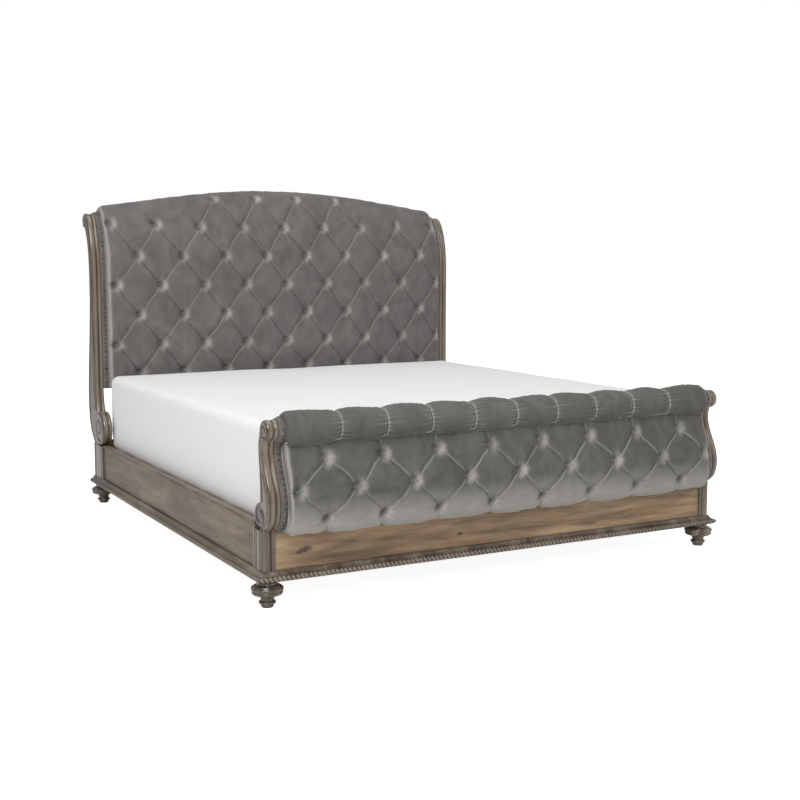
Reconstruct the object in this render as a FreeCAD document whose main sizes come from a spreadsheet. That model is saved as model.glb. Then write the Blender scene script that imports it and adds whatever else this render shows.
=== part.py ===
import FreeCAD, Part
import math
import os
import re
from FreeCAD import Placement, Rotation, Vector

# A king-size sleigh bed. +X is the right side seen from the foot, +Y points to the head, +Z is up.
# The outlines are drawn from the middle of the four feet, and every piece is then placed with
# feet_centre_y, so that the origin is on the floor below the middle of the whole bed.

DIMENSIONS = [
    ("feet_centre_y", -44.6, "middle of the feet, from the middle of the whole bed"),
    ("foot_spacing_x", 1003, "feet, to each side of the middle"),
    ("foot_spacing_y", 1075, "feet, to the head and to the foot of their middle"),
    ("base_height", 98, "underside of the plinth blocks and of the base moulding"),
    ("block_outer_x", 1030, "outer face of a plinth block"),
    ("block_width", 50, "plinth block, across the bed"),
    ("foot_block_front", 1103, "front face of a foot block, from the middle of the feet"),
    ("foot_block_depth", 88, "foot block, along the bed"),
    ("foot_block_top", 280, "top of a foot block"),
    ("head_block_back", 1135, "back face of a head block"),
    ("head_block_depth", 152, "head block, along the bed"),
    ("head_block_top", 296, "top of a head block"),
    ("scroll_width", 45, "scroll post, across the bed"),
    ("rail_outer_x", 1022, "outer face of a side rail"),
    ("rail_thickness", 25, "side rail plank"),
    ("rail_top", 291, "top of the side rail plank"),
    ("bead_radius", 6, "bead along the top of a side rail"),
    ("bead_width", 29, "bead, across the bed"),
    ("bead_overhang", 4, "bead, out from the face of the rail"),
    ("bead_rounding", 5.5, "bead's two outer edges"),
    ("moulding_height", 36, "base moulding"),
    ("moulding_reach", 26, "base moulding, out from the face of the blocks"),
    ("panel_front", 1095, "front face of the wooden panel across the foot"),
    ("panel_thickness", 20, "wooden panel across the foot"),
    ("panel_top", 300, "top of the wooden panel across the foot"),
    ("cross_rail_front", 1062, "front face of the cross rail at the head"),
    ("cross_rail_thickness", 25, "cross rail at the head"),
    ("cross_rail_top", 317, "top of the cross rail at the head"),
    ("ply_thickness", 12, "bent plywood under the upholstery"),
    ("core_depth", 25, "ribs between the plywood and the back of the headboard"),
    ("back_thickness", 9, "back panels"),
    ("rib_width", 32, "ribs, across the bed"),
    ("rib_spacing", 600, "ribs, from one to the next"),
    ("roll_radius", 37.5, "rolled top of every scroll post"),
    ("head_roll_y", 1221.5, "middle of the head roll"),
    ("head_roll_z", 1412.5, "middle of the head roll at the posts"),
    ("head_front_y", 1106, "upright front face of the head posts"),
    ("head_sweep_start", 1150, "height where the headboard begins to sweep back"),
    ("headboard_bottom", 575, "lower edge of the headboard's upholstery"),
    ("camelback_rise", 100, "middle of the headboard's top, above its ends"),
    ("head_pad_depth", 26, "headboard upholstery"),
    ("foot_roll_y", -1110, "middle of the foot roll"),
    ("foot_roll_z", 641, "middle of the foot roll"),
    ("roll_pad_depth", 18.5, "upholstery round the foot roll"),
    ("border_width", 25, "flat border of the upholstery, where the nails are"),
    ("border_depth", 6, "thickness of that border"),
    ("button_pitch", 231, "buttons in a row"),
    ("button_radius", 12, "covered button"),
    ("button_height", 6, "covered button"),
    ("nail_radius", 5.5, "nailhead"),
    ("nail_height", 3.85, "nailhead"),
    ("nail_pitch", 22, "nailheads along the border"),
    ("ledge_width", 30, "slat ledge, across the bed"),
    ("ledge_height", 40, "slat ledge"),
    ("slat_top", 268, "top of the slats"),
    ("slat_thickness", 20, "slat"),
    ("slat_width", 100, "slat, along the bed"),
    ("slat_length", 1980, "slat, across the bed"),
    ("slat_pitch", 300, "slats, from one to the next"),
    ("screw_x", 982, "slat screws, to each side of the middle"),
    ("screw_radius", 2.5, "slat screw"),
    ("screw_head_radius", 5, "slat screw's head"),
    ("screw_head_height", 4, "slat screw's head"),
    ("screw_recess", 5, "recess for a slat screw's head"),
    ("screw_depth", 25, "slat screw, into the ledge"),
    ("screw_slot_length", 8, "slot in a slat screw's head"),
    ("screw_slot_width", 1.2, "slot in a slat screw's head"),
    ("screw_slot_depth", 1.5, "slot in a slat screw's head"),
    ("beam_width", 50, "centre beam and its legs"),
    ("beam_height", 70, "centre beam"),
    ("leg_pitch", 620, "centre legs, from one to the next"),
    ("glide_radius", 22, "levelling glide"),
    ("glide_height", 6, "levelling glide's disc"),
    ("glide_stem_radius", 5, "levelling glide's screw"),
    ("glide_stem_length", 44, "levelling glide's screw"),
    ("glide_clearance", 0.4, "between a glide and its leg"),
    ("glide_headroom", 10, "bore above a glide's screw"),
    ("steel_thickness", 3, "brackets and hook plates"),
    ("bracket_reach", 40, "beam bracket, out from the wood behind it"),
    ("bracket_wing", 25, "beam bracket's plate, beyond each side of the beam"),
    ("hook_length", 80, "hook plate along the rail"),
    ("hook_height", 70, "hook plate"),
    ("hook_bottom", 132, "underside of a hook plate"),
    ("mattress_width", 1930, "king-size mattress"),
    ("mattress_length", 2032, "king-size mattress"),
    ("mattress_height", 375, "mattress"),
    ("mattress_head_y", 1032, "head end of the mattress"),
    ("mattress_gap", 0.4, "between the mattress and the slats"),
    ("mattress_rounding", 30, "mattress's top edge"),
]

doc = FreeCAD.newDocument("SleighBed")
sheet = doc.addObject("Spreadsheet::Sheet", "Dimensions")
for row, (alias, value, meaning) in enumerate(DIMENSIONS, start=1):
    sheet.set(f"A{row}", alias)
    sheet.set(f"B{row}", str(value))
    sheet.set(f"C{row}", meaning)
    sheet.setAlias(f"B{row}", alias)
doc.recompute()

NODES = []


# --- helpers -----------------------------------------------------------------------------------

def size(alias):
    """The value of one cell."""
    return float(sheet.get(alias))


def bind(item, name, expression):
    """Bind a property to the sheet: every word in the expression is an alias there."""
    item.setExpression(name, re.sub(r"[a-z_]+", lambda word: "Dimensions." + word.group(), expression))


def place(item, x="0", y="0", z="0"):
    """Place a piece, measured from the middle of the feet."""
    bind(item, "Placement.Base.x", x)
    bind(item, "Placement.Base.y", f"feet_centre_y + {y}")
    bind(item, "Placement.Base.z", z)


def node(item, label):
    """Keep a piece as one node of the model."""
    item.Label = label
    NODES.append(item)
    return item


def box(name, length, width, height, x="0", y="0", z="0"):
    item = doc.addObject("Part::Box", name)
    bind(item, "Length", length)
    bind(item, "Width", width)
    bind(item, "Height", height)
    place(item, x, y, z)
    return item


def cylinder(name, radius, height, x="0", y="0", z="0"):
    item = doc.addObject("Part::Cylinder", name)
    bind(item, "Radius", radius)
    bind(item, "Height", height)
    place(item, x, y, z)
    return item


def cut(name, base, tool):
    item = doc.addObject("Part::Cut", name)
    item.Base = base
    item.Tool = tool
    return item


def fuse(name, shapes):
    item = doc.addObject("Part::MultiFuse", name)
    item.Shapes = shapes
    return item


def feature(label, shape):
    """A piece whose shape is worked out here, drawn from the middle of the feet."""
    item = doc.addObject("Part::Feature", label)
    item.Shape = shape
    item.Placement = Placement(Vector(0, size("feet_centre_y"), 0), Rotation())
    return node(item, label)


def origin_plane(body, role):
    return [plane for plane in body.Origin.OriginFeatures if plane.Role == role][0]


def sketch_in(body, role, outline):
    """A closed outline in one of the body's own planes."""
    sketch = body.newObject("Sketcher::SketchObject", body.Name + "_outline")
    sketch.AttachmentSupport = (origin_plane(body, role), "")
    sketch.MapMode = "FlatFace"
    for edge in outline:
        sketch.addGeometry(edge, False)
    return sketch


def padded_blank(label, outline, thickness, x):
    """A side-view outline, padded across the bed."""
    body = doc.addObject("PartDesign::Body", label)
    pad = body.newObject("PartDesign::Pad", label + "_pad")
    pad.Profile = sketch_in(body, "YZ_Plane", outline)
    bind(pad, "Length", thickness)
    place(body, x)
    return body


def padded_body(label, outline, thickness, x):
    """A padded outline that is a piece of its own."""
    return node(padded_blank(label, outline, thickness, x), label)


def path(points):
    """Straight edges through 2-D points."""
    corners = [Vector(a, b, 0) for a, b in points]
    return [Part.LineSegment(start, end) for start, end in zip(corners, corners[1:])]


def arc(start, middle, end):
    return Part.Arc(Vector(*start, 0), Vector(*middle, 0), Vector(*end, 0))


def spline(points, start=None, end=None):
    """A smooth curve through 2-D points, with the directions that are given at its ends."""
    curve = Part.BSplineCurve()
    corners = [Vector(a, b, 0) for a, b in points]
    if start is None and end is None:
        curve.interpolate(corners)
        return curve
    tangents = [Vector(0, 0, 0)] * len(corners)
    flags = [False] * len(corners)
    for index, direction in ((0, start), (-1, end)):
        if direction is not None:
            tangents[index] = Vector(*direction, 0).normalize()
            flags[index] = True
    curve.interpolate(Points=corners, Tangents=tangents, TangentFlags=flags, Scale=False)
    return curve


def on_circle(centre, radius, degrees):
    angle = math.radians(degrees)
    return (centre[0] + radius * math.cos(angle), centre[1] + radius * math.sin(angle))


def shifted(curve, distance, count=9):
    """Points beside a curve: to the left of its direction where the distance is positive."""
    first, last = curve.FirstParameter, curve.LastParameter
    points = []
    for step in range(count):
        parameter = first + (last - first) * step / (count - 1)
        point = curve.value(parameter)
        tangent = curve.tangent(parameter)[0]
        points.append((point.x - tangent.y * distance, point.y + tangent.x * distance))
    return points


def parameter_at_height(curve, z):
    """Where a curve that climbs all the way reaches a height."""
    low, high = curve.FirstParameter, curve.LastParameter
    for _ in range(50):
        middle = (low + high) / 2
        if curve.value(middle).y < z:
            low = middle
        else:
            high = middle
    return (low + high) / 2


def wire_at(x, outline):
    """A side-view outline as a wire in the plane across the bed at x."""
    wire = Part.Wire(Part.__sortEdges__([edge.toShape() for edge in outline]))
    wire.Placement = Placement(FreeCAD.Matrix(0, 0, 1, x, 1, 0, 0, 0, 0, 1, 0, 0, 0, 0, 0, 1))
    return wire


def extruded(outline, x, width):
    """A side-view outline as a solid from x to x + width."""
    return Part.Face(wire_at(x, outline)).extrude(Vector(width, 0, 0))


def dome(radius, height, at, direction):
    """A shallow spherical cap that stands on a point."""
    ball = (radius ** 2 + height ** 2) / (2 * height)
    latitude = math.degrees(math.asin((ball - height) / ball))
    centre = at - direction * (ball - height)
    return Part.makeSphere(ball, centre, direction, latitude, 90, 360)


def seated(domes, surface):
    """Buttons or nails, cut to the surface that they sit on."""
    return Part.makeCompound(domes).cut(surface)


# --- the two side-view curves that the bed is drawn on -------------------------------------------

HEAD_ROLL = (size("head_roll_y"), size("head_roll_z"))
FOOT_ROLL = (size("foot_roll_y"), size("foot_roll_z"))
ROLL_RADIUS = size("roll_radius")
SHOULDER_HOLLOW = 0.32  # at 0 the headboard's top is a plain arch, and at 1 its ends are level

HEAD_VOLUTE = (1046, 381)
HEAD_VOLUTE_RADIUS = 85
HEAD_VOLUTE_MEETS_POST = on_circle(HEAD_VOLUTE, HEAD_VOLUTE_RADIUS, 68)
HEAD_BACK_CURVE = [(1135, 296), (1205, 364), (1231, 445), (1233, 540), (1199, 774), (1165, 1000),
                   (1157, 1140), (1163, 1238), (1182, 1317), on_circle(HEAD_ROLL, ROLL_RADIUS, -100)]
HEAD_FRONT_TURN = 600

FOOT_VOLUTE = (-1064, 330)
FOOT_VOLUTE_RADIUS = 50
FOOT_VOLUTE_MEETS_POST = on_circle(FOOT_VOLUTE, FOOT_VOLUTE_RADIUS, 95)
FOOT_NECK = on_circle(FOOT_ROLL, ROLL_RADIUS, -85)
FOOT_FRONT_CURVE = [(-1103, 280), (-1143, 311), (-1161, 365), (-1154, 422), (-1129, 477),
                    (-1105, 531), (-1099, 570), FOOT_NECK]
FOOT_BACK_CURVE = [on_circle(FOOT_ROLL, ROLL_RADIUS, 0), (-1058, 585), (-1061, 530), (-1068, 450),
                   FOOT_VOLUTE_MEETS_POST]


def foot_front(stop_z=None):
    """The front line of the foot posts, or its part below a height."""
    curve = spline(FOOT_FRONT_CURVE)
    if stop_z is not None:
        curve.segment(curve.FirstParameter, parameter_at_height(curve, stop_z))
    return curve


def head_front(offset, shift, stop=90):
    """The headboard's front line at a distance from the posts' own: upright, then a quarter ellipse.

    shift lifts the sweep, as the camelback does, and stop is where on the ellipse it ends.
    """
    sweep = size("head_sweep_start")
    centre = Vector(HEAD_ROLL[0], sweep + shift, 0)
    narrow = HEAD_ROLL[0] - size("head_front_y") + offset
    tall = HEAD_ROLL[1] + ROLL_RADIUS - sweep + offset
    ellipse = Part.Ellipse(centre + Vector(0, tall, 0), centre + Vector(-narrow, 0, 0), centre)
    upright = Part.LineSegment(Vector(centre.x - narrow, size("headboard_bottom"), 0),
                               Vector(centre.x - narrow, centre.y, 0))
    return upright, Part.ArcOfEllipse(ellipse, math.radians(90 - stop), math.radians(90))


def camelback(x):
    """How far the headboard's top is above its ends, x from the middle. Its shoulders are hollow."""
    half = size("block_outer_x") - size("block_width")
    arch = 1 - (x / half) ** 2
    return size("camelback_rise") * arch * (1 - SHOULDER_HOLLOW * (1 - arch))


def loft_across(outline_at, start, end, count=15):
    """A solid across the bed, from start to end, whose side-view outline changes with x."""
    places = [start + (end - start) * step / (count - 1) for step in range(count)]
    return Part.makeLoft([wire_at(x, outline_at(x)) for x in places], True, False)


INNER_X = size("block_outer_x") - size("block_width")
PAD_X = INNER_X - size("border_width")
NEAR = 0.1  # two places closer than this are the same when an edge is looked up


# --- posts, blocks and feet ----------------------------------------------------------------------

def head_scroll_outline():
    back = on_circle(HEAD_ROLL, ROLL_RADIUS, 0)
    top = on_circle(HEAD_ROLL, ROLL_RADIUS, 90)
    upright, sweep = head_front(0, 0)
    sweep_start = (size("head_front_y"), size("head_sweep_start"))
    turn = (size("head_front_y"), HEAD_FRONT_TURN)
    return [
        spline(HEAD_BACK_CURVE),
        arc(HEAD_BACK_CURVE[-1], back, top),
        sweep,
        *path([sweep_start, turn]),
        spline([turn, (1094, 505), HEAD_VOLUTE_MEETS_POST], start=(0, -1)),
        arc(HEAD_VOLUTE_MEETS_POST, on_circle(HEAD_VOLUTE, HEAD_VOLUTE_RADIUS, 180),
            on_circle(HEAD_VOLUTE, HEAD_VOLUTE_RADIUS, 270)),
        *path([on_circle(HEAD_VOLUTE, HEAD_VOLUTE_RADIUS, 270), HEAD_BACK_CURVE[0]]),
    ]


def foot_scroll_outline():
    back = FOOT_BACK_CURVE[0]
    return [
        foot_front(),
        arc(FOOT_NECK, on_circle(FOOT_ROLL, ROLL_RADIUS, 135), back),
        spline(FOOT_BACK_CURVE, start=(0, -1)),
        arc(FOOT_VOLUTE_MEETS_POST, on_circle(FOOT_VOLUTE, FOOT_VOLUTE_RADIUS, 0),
            on_circle(FOOT_VOLUTE, FOOT_VOLUTE_RADIUS, 270)),
        *path([on_circle(FOOT_VOLUTE, FOOT_VOLUTE_RADIUS, 270), FOOT_FRONT_CURVE[0]]),
    ]


def turned_foot(label, x, y):
    """A bun foot with a double cushion, a waist, a ring and a small pad."""
    top = size("base_height")
    outline = [
        *path([(0, top), (0, 0), (20, 0), (22, 3), (24, 12)]),
        arc((24, 12), (31, 18.5), (24, 25)),
        *path([(24, 25), (24, 28)]),
        spline([(24, 28), (28, 38), (44, 48)], start=(0, 1)),
        arc((44, 48), (56.5, 54), (55, 61)),
        arc((55, 61), (59, 67), (51, 77)),
        *path([(51, 77), (49, 80), (40, 82)]),
        arc((40, 82), (36.5, 89), (40, top)),
        *path([(40, top), (0, top)]),
    ]
    body = doc.addObject("PartDesign::Body", label)
    turning = body.newObject("PartDesign::Revolution", label + "_turning")
    sketch = sketch_in(body, "XZ_Plane", outline)
    turning.Profile = sketch
    turning.ReferenceAxis = (sketch, ["V_Axis"])
    turning.Angle = 360
    place(body, x, y)
    return node(body, label)


def posts_and_feet():
    for side, sign in (("left", "-"), ("right", "")):
        block_x = "-block_outer_x" if sign else "block_outer_x - block_width"
        scroll_x = "-block_outer_x + block_width - scroll_width" if sign else "block_outer_x - block_width"
        node(box(f"head_block_{side}", "block_width", "head_block_depth", "head_block_top - base_height",
                 block_x, "head_block_back - head_block_depth", "base_height"), f"head_block_{side}")
        node(box(f"foot_block_{side}", "block_width", "foot_block_depth", "foot_block_top - base_height",
                 block_x, "-foot_block_front", "base_height"), f"foot_block_{side}")
        padded_body(f"head_scroll_{side}", head_scroll_outline(), "scroll_width", scroll_x)
        padded_body(f"foot_scroll_{side}", foot_scroll_outline(), "scroll_width", scroll_x)
        turned_foot(f"turned_foot_head_{side}", sign + "foot_spacing_x", "foot_spacing_y")
        turned_foot(f"turned_foot_foot_{side}", sign + "foot_spacing_x", "-foot_spacing_y")


# --- rails, mouldings and panels -------------------------------------------------------------------

def moulding_outline():
    """Cross-section of the base moulding: reach out from the blocks' faces, and height.

    From below: a chamfer, a round nose, a small step and a cove up to a thin lip.
    """
    reach = size("moulding_reach")
    base = size("base_height")
    top = base + size("moulding_height")
    inner = size("rail_outer_x") - size("block_outer_x")
    nose_below = (reach - 4, base + 3)
    nose_above = (reach - 4, base + 19)
    step = (reach - 7, base + 21)
    lip = (3, top)
    return [
        *path([lip, (inner, top), (inner, base), (reach - 8, base), nose_below]),
        arc(nose_below, (reach, base + 11), nose_above),
        *path([nose_above, step]),
        arc(step, (8, base + 26), lip),
    ]


def moulding_face(matrix):
    edges = [edge.toShape() for edge in moulding_outline()]
    return Part.Face(Part.Wire(Part.__sortEdges__(edges)).transformGeometry(matrix))


def corner_wedge(sign):
    """The space beyond the mitre at a front corner, seen from the side moulding."""
    x = sign * size("block_outer_x")
    y = -size("foot_block_front")
    far = 4 * size("foot_block_depth")
    corners = [Vector(x - sign * far, y + far, 0), Vector(x + sign * far, y - far, 0),
               Vector(x - sign * far, y - far, 0)]
    face = Part.Face(Part.makePolygon(corners + corners[:1]))
    return face.extrude(Vector(0, 0, size("foot_block_top")))


def plinth_blocks():
    """The four blocks and the rail ends, which the mouldings are fitted round."""
    outer = size("block_outer_x")
    width = size("block_width")
    height = size("foot_block_top")
    blocks = []
    for x in (-outer, outer - width):
        for y, depth in ((-size("foot_block_front"), size("foot_block_depth")),
                         (size("head_block_back") - size("head_block_depth"), size("head_block_depth"))):
            blocks.append(Part.makeBox(width, depth, height, Vector(x, y, 0)))
    return blocks


def base_mouldings():
    outer = size("block_outer_x")
    front = -size("foot_block_front")
    back = size("head_block_back")
    overrun = 2 * size("moulding_reach")
    for side, sign in (("left", -1), ("right", 1)):
        section = moulding_face(FreeCAD.Matrix(sign, 0, 0, sign * outer, 0, 0, 1, front - overrun,
                                               0, 1, 0, 0, 0, 0, 0, 1))
        run = section.extrude(Vector(0, back - front + overrun, 0))
        shape = run.cut(corner_wedge(sign)).cut(plinth_blocks())
        feature(f"base_moulding_{side}", shape)
    section = moulding_face(FreeCAD.Matrix(0, 0, 1, -outer - overrun, -1, 0, 0, front,
                                           0, 1, 0, 0, 0, 0, 0, 1))
    run = section.extrude(Vector(2 * (outer + overrun), 0, 0))
    ends = run.common([corner_wedge(-1), corner_wedge(1)])
    middle = run.common(Part.makeBox(2 * (outer - overrun), 4 * overrun, size("foot_block_top"),
                                     Vector(overrun - outer, front - 2 * overrun, 0)))
    feature("base_moulding_foot", middle.fuse(ends).removeSplitter().cut(plinth_blocks()))


def rails_and_panels():
    length = "foot_block_front - foot_block_depth + head_block_back - head_block_depth"
    start = "-foot_block_front + foot_block_depth"
    for side, left in (("left", True), ("right", False)):
        rail_x = "-rail_outer_x" if left else "rail_outer_x - rail_thickness"
        node(box(f"side_rail_{side}", "rail_thickness", length, "rail_top - base_height",
                 rail_x, start, "base_height"), f"side_rail_{side}")
        bead = box(f"bead_blank_{side}", "bead_width", length, "2 * bead_radius",
                   "-rail_outer_x - bead_overhang" if left else "rail_outer_x + bead_overhang - bead_width",
                   start, "rail_top")
        doc.recompute()
        rounded = doc.addObject("Part::Fillet", f"rail_bead_{side}")
        rounded.Base = bead
        outer_x = bead.Shape.BoundBox.XMin if left else bead.Shape.BoundBox.XMax
        radius = size("bead_rounding")
        rounded.Edges = [(index, radius, radius) for index, edge in enumerate(bead.Shape.Edges, start=1)
                         if abs(edge.BoundBox.XMin - outer_x) < NEAR and edge.BoundBox.XLength < NEAR
                         and edge.BoundBox.ZLength < NEAR]
        node(rounded, f"rail_bead_{side}")
        ledge_x = ("-rail_outer_x + rail_thickness" if left
                   else "rail_outer_x - rail_thickness - ledge_width")
        ledge = box(f"ledge_blank_{side}", "ledge_width", length, "ledge_height", ledge_x, start,
                    "slat_top - slat_thickness - ledge_height")
        screw_x = "-screw_x" if left else "screw_x"
        pilots = [cylinder(f"ledge_pilot_{side}_{index}", "screw_radius", "screw_depth", screw_x,
                           slat_y(index), "slat_top - slat_thickness - screw_depth")
                  for index in range(SLAT_COUNT)]
        node(cut(f"slat_ledge_{side}", ledge, fuse(f"ledge_pilots_{side}", pilots)),
             f"slat_ledge_{side}")
    inner = "2 * block_outer_x - 2 * block_width"
    left_end = "-block_outer_x + block_width"
    node(box("foot_lower_panel", inner, "panel_thickness", "panel_top - base_height",
             left_end, "-panel_front", "base_height"), "foot_lower_panel")
    node(box("head_cross_rail", inner, "cross_rail_thickness", "cross_rail_top - base_height",
             left_end, "cross_rail_front", "base_height"), "head_cross_rail")


# --- slats, centre beam and legs -------------------------------------------------------------------

SLAT_COUNT = 7
LEG_COUNT = 3


def slat_y(index):
    """Middle of a slat, as an expression."""
    return f"slat_pitch * {index - (SLAT_COUNT - 1) / 2}"


def slats():
    for index in range(SLAT_COUNT):
        blank = box(f"slat_blank_{index + 1}", "slat_length", "slat_width", "slat_thickness",
                    "-slat_length / 2", f"{slat_y(index)} - slat_width / 2", "slat_top - slat_thickness")
        holes = []
        for side, x in (("left", "-screw_x"), ("right", "screw_x")):
            holes.append(cylinder(f"slat_hole_{side}_{index + 1}", "screw_radius", "slat_thickness", x,
                                  slat_y(index), "slat_top - slat_thickness"))
            holes.append(cylinder(f"slat_recess_{side}_{index + 1}", "screw_head_radius", "screw_recess",
                                  x, slat_y(index), "slat_top - screw_recess"))
        node(cut(f"slat_{index + 1}", blank, fuse(f"slat_holes_{index + 1}", holes)), f"slat_{index + 1}")


def slat_screws():
    top = size("slat_top") - size("screw_recess")
    bottom = size("slat_top") - size("slat_thickness") - size("screw_depth")
    long, wide, deep = (size(f"screw_slot_{part}") for part in ("length", "width", "depth"))
    screws = []
    for index in range(SLAT_COUNT):
        y = size("slat_pitch") * (index - (SLAT_COUNT - 1) / 2)
        for x in (-size("screw_x"), size("screw_x")):
            shank = Part.makeCylinder(size("screw_radius"), top - bottom, Vector(x, y, bottom))
            head = Part.makeCylinder(size("screw_head_radius"), size("screw_head_height"), Vector(x, y, top))
            slot = Part.makeBox(long, wide, deep,
                                Vector(x - long / 2, y - wide / 2, top + size("screw_head_height") - deep))
            screws.append(shank.fuse(head).removeSplitter().cut(slot))
    feature("slat_screws", Part.makeCompound(screws))


def centre_support():
    beam_top = "slat_top - slat_thickness"
    beam_start = "-panel_front + panel_thickness + steel_thickness"
    beam_length = "panel_front - panel_thickness + cross_rail_front - 2 * steel_thickness"
    node(box("centre_beam", "beam_width", beam_length, "beam_height", "-beam_width / 2", beam_start,
             f"{beam_top} - beam_height"), "centre_beam")
    for index in range(LEG_COUNT):
        y = f"leg_pitch * {index - (LEG_COUNT - 1) / 2}"
        blank = box(f"leg_blank_{index + 1}", "beam_width", "beam_width",
                    f"{beam_top} - beam_height - glide_height - glide_clearance", "-beam_width / 2",
                    f"{y} - beam_width / 2", "glide_height + glide_clearance")
        bore = cylinder(f"leg_bore_{index + 1}", "glide_stem_radius + glide_clearance",
                        "glide_stem_length + glide_headroom", "0", y, "glide_height")
        node(cut(f"centre_leg_{index + 1}", blank, bore), f"centre_leg_{index + 1}")
        disc = cylinder(f"glide_disc_{index + 1}", "glide_radius", "glide_height", "0", y)
        stem = cylinder(f"glide_stem_{index + 1}", "glide_stem_radius", "glide_height + glide_stem_length",
                        "0", y)
        node(fuse(f"levelling_glide_{index + 1}", [disc, stem]), f"levelling_glide_{index + 1}")


def beam_brackets():
    """A steel stirrup under each end of the beam, with a plate against the wood behind it."""
    steel = size("steel_thickness")
    half = size("beam_width") / 2
    top = size("slat_top") - size("slat_thickness")
    bottom = top - size("beam_height")
    reach = size("bracket_reach")
    wing = size("bracket_wing")
    stirrups = []
    walls = ((-size("panel_front") + size("panel_thickness"), 1), (size("cross_rail_front"), -1))
    for wall, inward in walls:
        near = min(wall, wall + inward * steel)
        plate = Part.makeBox(2 * (half + wing), steel, size("beam_height") + steel,
                             Vector(-half - wing, near, bottom - steel))
        seat_start = min(wall + inward * steel, wall + inward * reach)
        depth = reach - steel
        seat = Part.makeBox(2 * (half + steel), depth, steel,
                            Vector(-half - steel, seat_start, bottom - steel))
        cheeks = [Part.makeBox(steel, depth, size("beam_height"), Vector(x, seat_start, bottom))
                  for x in (-half - steel, half)]
        stirrups.append(plate.fuse([seat] + cheeks).removeSplitter())
    feature("beam_brackets", Part.makeCompound(stirrups))


def rail_hook_plates():
    """Bed-rail fasteners: a bent plate on each rail end and against its block."""
    steel = size("steel_thickness")
    rail_inner = size("rail_outer_x") - size("rail_thickness")
    block_inner = size("block_outer_x") - size("block_width")
    bottom = size("hook_bottom")
    height = size("hook_height")
    plates = []
    ends = ((-size("foot_block_front") + size("foot_block_depth"), 1),
            (size("head_block_back") - size("head_block_depth"), -1))
    for sign in (-1, 1):
        for end, inward in ends:
            rail_leaf = Part.makeBox(steel, size("hook_length"), height,
                                     Vector(min(sign * rail_inner, sign * (rail_inner - steel)),
                                            min(end, end + inward * size("hook_length")), bottom))
            block_leaf = Part.makeBox(rail_inner - block_inner, steel, height,
                                      Vector(min(sign * rail_inner, sign * block_inner),
                                             min(end, end + inward * steel), bottom))
            plates.append(rail_leaf.fuse(block_leaf).removeSplitter())
    feature("rail_hook_plates", Part.makeCompound(plates))


# --- headboard ---------------------------------------------------------------------------------

BACK_STOP = 62  # where on the headboard's sweep, in degrees, its ribs and back panel end


def between(front, back, x, stop):
    """A layer of the headboard at x, between two distances behind the posts' front line.

    stop is where on the sweep it ends, in degrees.
    """
    outer = head_front(-front, camelback(x), stop)
    inner = head_front(-back, camelback(x), stop)
    return [*outer, Part.LineSegment(outer[1].StartPoint, inner[1].StartPoint), *inner,
            Part.LineSegment(inner[0].StartPoint, outer[0].StartPoint)]


def headboard_pad_outline(x, depth):
    """The padding over the front, over the top and round the back of the roll."""
    shift = camelback(x)
    roll = (HEAD_ROLL[0], HEAD_ROLL[1] + shift)
    core = ROLL_RADIUS - size("ply_thickness")
    skin = ROLL_RADIUS + depth
    bottom = size("headboard_bottom")
    front_y = size("head_front_y")
    return [
        *head_front(depth, shift),
        arc(on_circle(roll, skin, 90), on_circle(roll, skin, 0), on_circle(roll, skin, -90)),
        *path([on_circle(roll, skin, -90), on_circle(roll, core, -90)]),
        arc(on_circle(roll, core, -90), on_circle(roll, core, 0), on_circle(roll, core, 90)),
        *path([on_circle(roll, core, 90), on_circle(roll, ROLL_RADIUS, 90)]),
        *head_front(0, shift),
        *path([(front_y, bottom), (front_y - depth, bottom)]),
    ]


def top_rail_outline(x):
    """A round bar that fills the roll's plywood, drawn as two half circles."""
    centre = (HEAD_ROLL[0], HEAD_ROLL[1] + camelback(x))
    radius = ROLL_RADIUS - size("ply_thickness")
    return [arc(*(on_circle(centre, radius, start + turn) for turn in (0, 90, 180))) for start in (-90, 90)]


def headboard_frame():
    ply = size("ply_thickness")
    back = ply + size("core_depth")
    skin = back + size("back_thickness")
    feature("headboard_panel", loft_across(lambda x: between(0, ply, x, 90), -INNER_X, INNER_X))
    feature("headboard_back", loft_across(lambda x: between(back, skin, x, BACK_STOP), -INNER_X, INNER_X))
    feature("headboard_top_rail", loft_across(top_rail_outline, -INNER_X, INNER_X))
    for index, x in enumerate((-size("rib_spacing") / 2, size("rib_spacing") / 2), start=1):
        half = size("rib_width") / 2
        feature(f"headboard_rib_{index}",
                loft_across(lambda at: between(ply, back, at, BACK_STOP), x - half, x + half, 3))


def headboard_upholstery():
    """The pad and its two borders. Returns their shapes, drawn from the middle of the feet."""
    def pad_at(x):
        return headboard_pad_outline(x, size("head_pad_depth"))

    def border_at(x):
        return headboard_pad_outline(x, size("border_depth"))

    pad = loft_across(pad_at, -PAD_X, PAD_X)
    borders = Part.makeCompound([loft_across(border_at, start, start + size("border_width"), 3)
                                 for start in (-INNER_X, PAD_X)])
    feature("headboard_pad", pad)
    feature("headboard_borders", borders)
    return pad, borders


def headboard_surface(x, z):
    """Point and outward direction on the front of the headboard's upholstery."""
    depth = size("head_pad_depth")
    centre = Vector(x, HEAD_ROLL[0], size("head_sweep_start") + camelback(x))
    narrow = HEAD_ROLL[0] - size("head_front_y") + depth
    tall = HEAD_ROLL[1] + ROLL_RADIUS - size("head_sweep_start") + depth
    if z <= centre.z:
        return Vector(x, centre.y - narrow, z), Vector(0, -1, 0)
    climb = math.asin((z - centre.z) / tall)
    point = Vector(x, centre.y - narrow * math.cos(climb), z)
    normal = Vector(0, -math.cos(climb) / narrow, math.sin(climb) / tall)
    return point, normal.normalize()


def button_columns(count, shift):
    """Places across the bed of a row of buttons."""
    return [shift + size("button_pitch") * (index - (count - 1) / 2) for index in range(count)]


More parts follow.
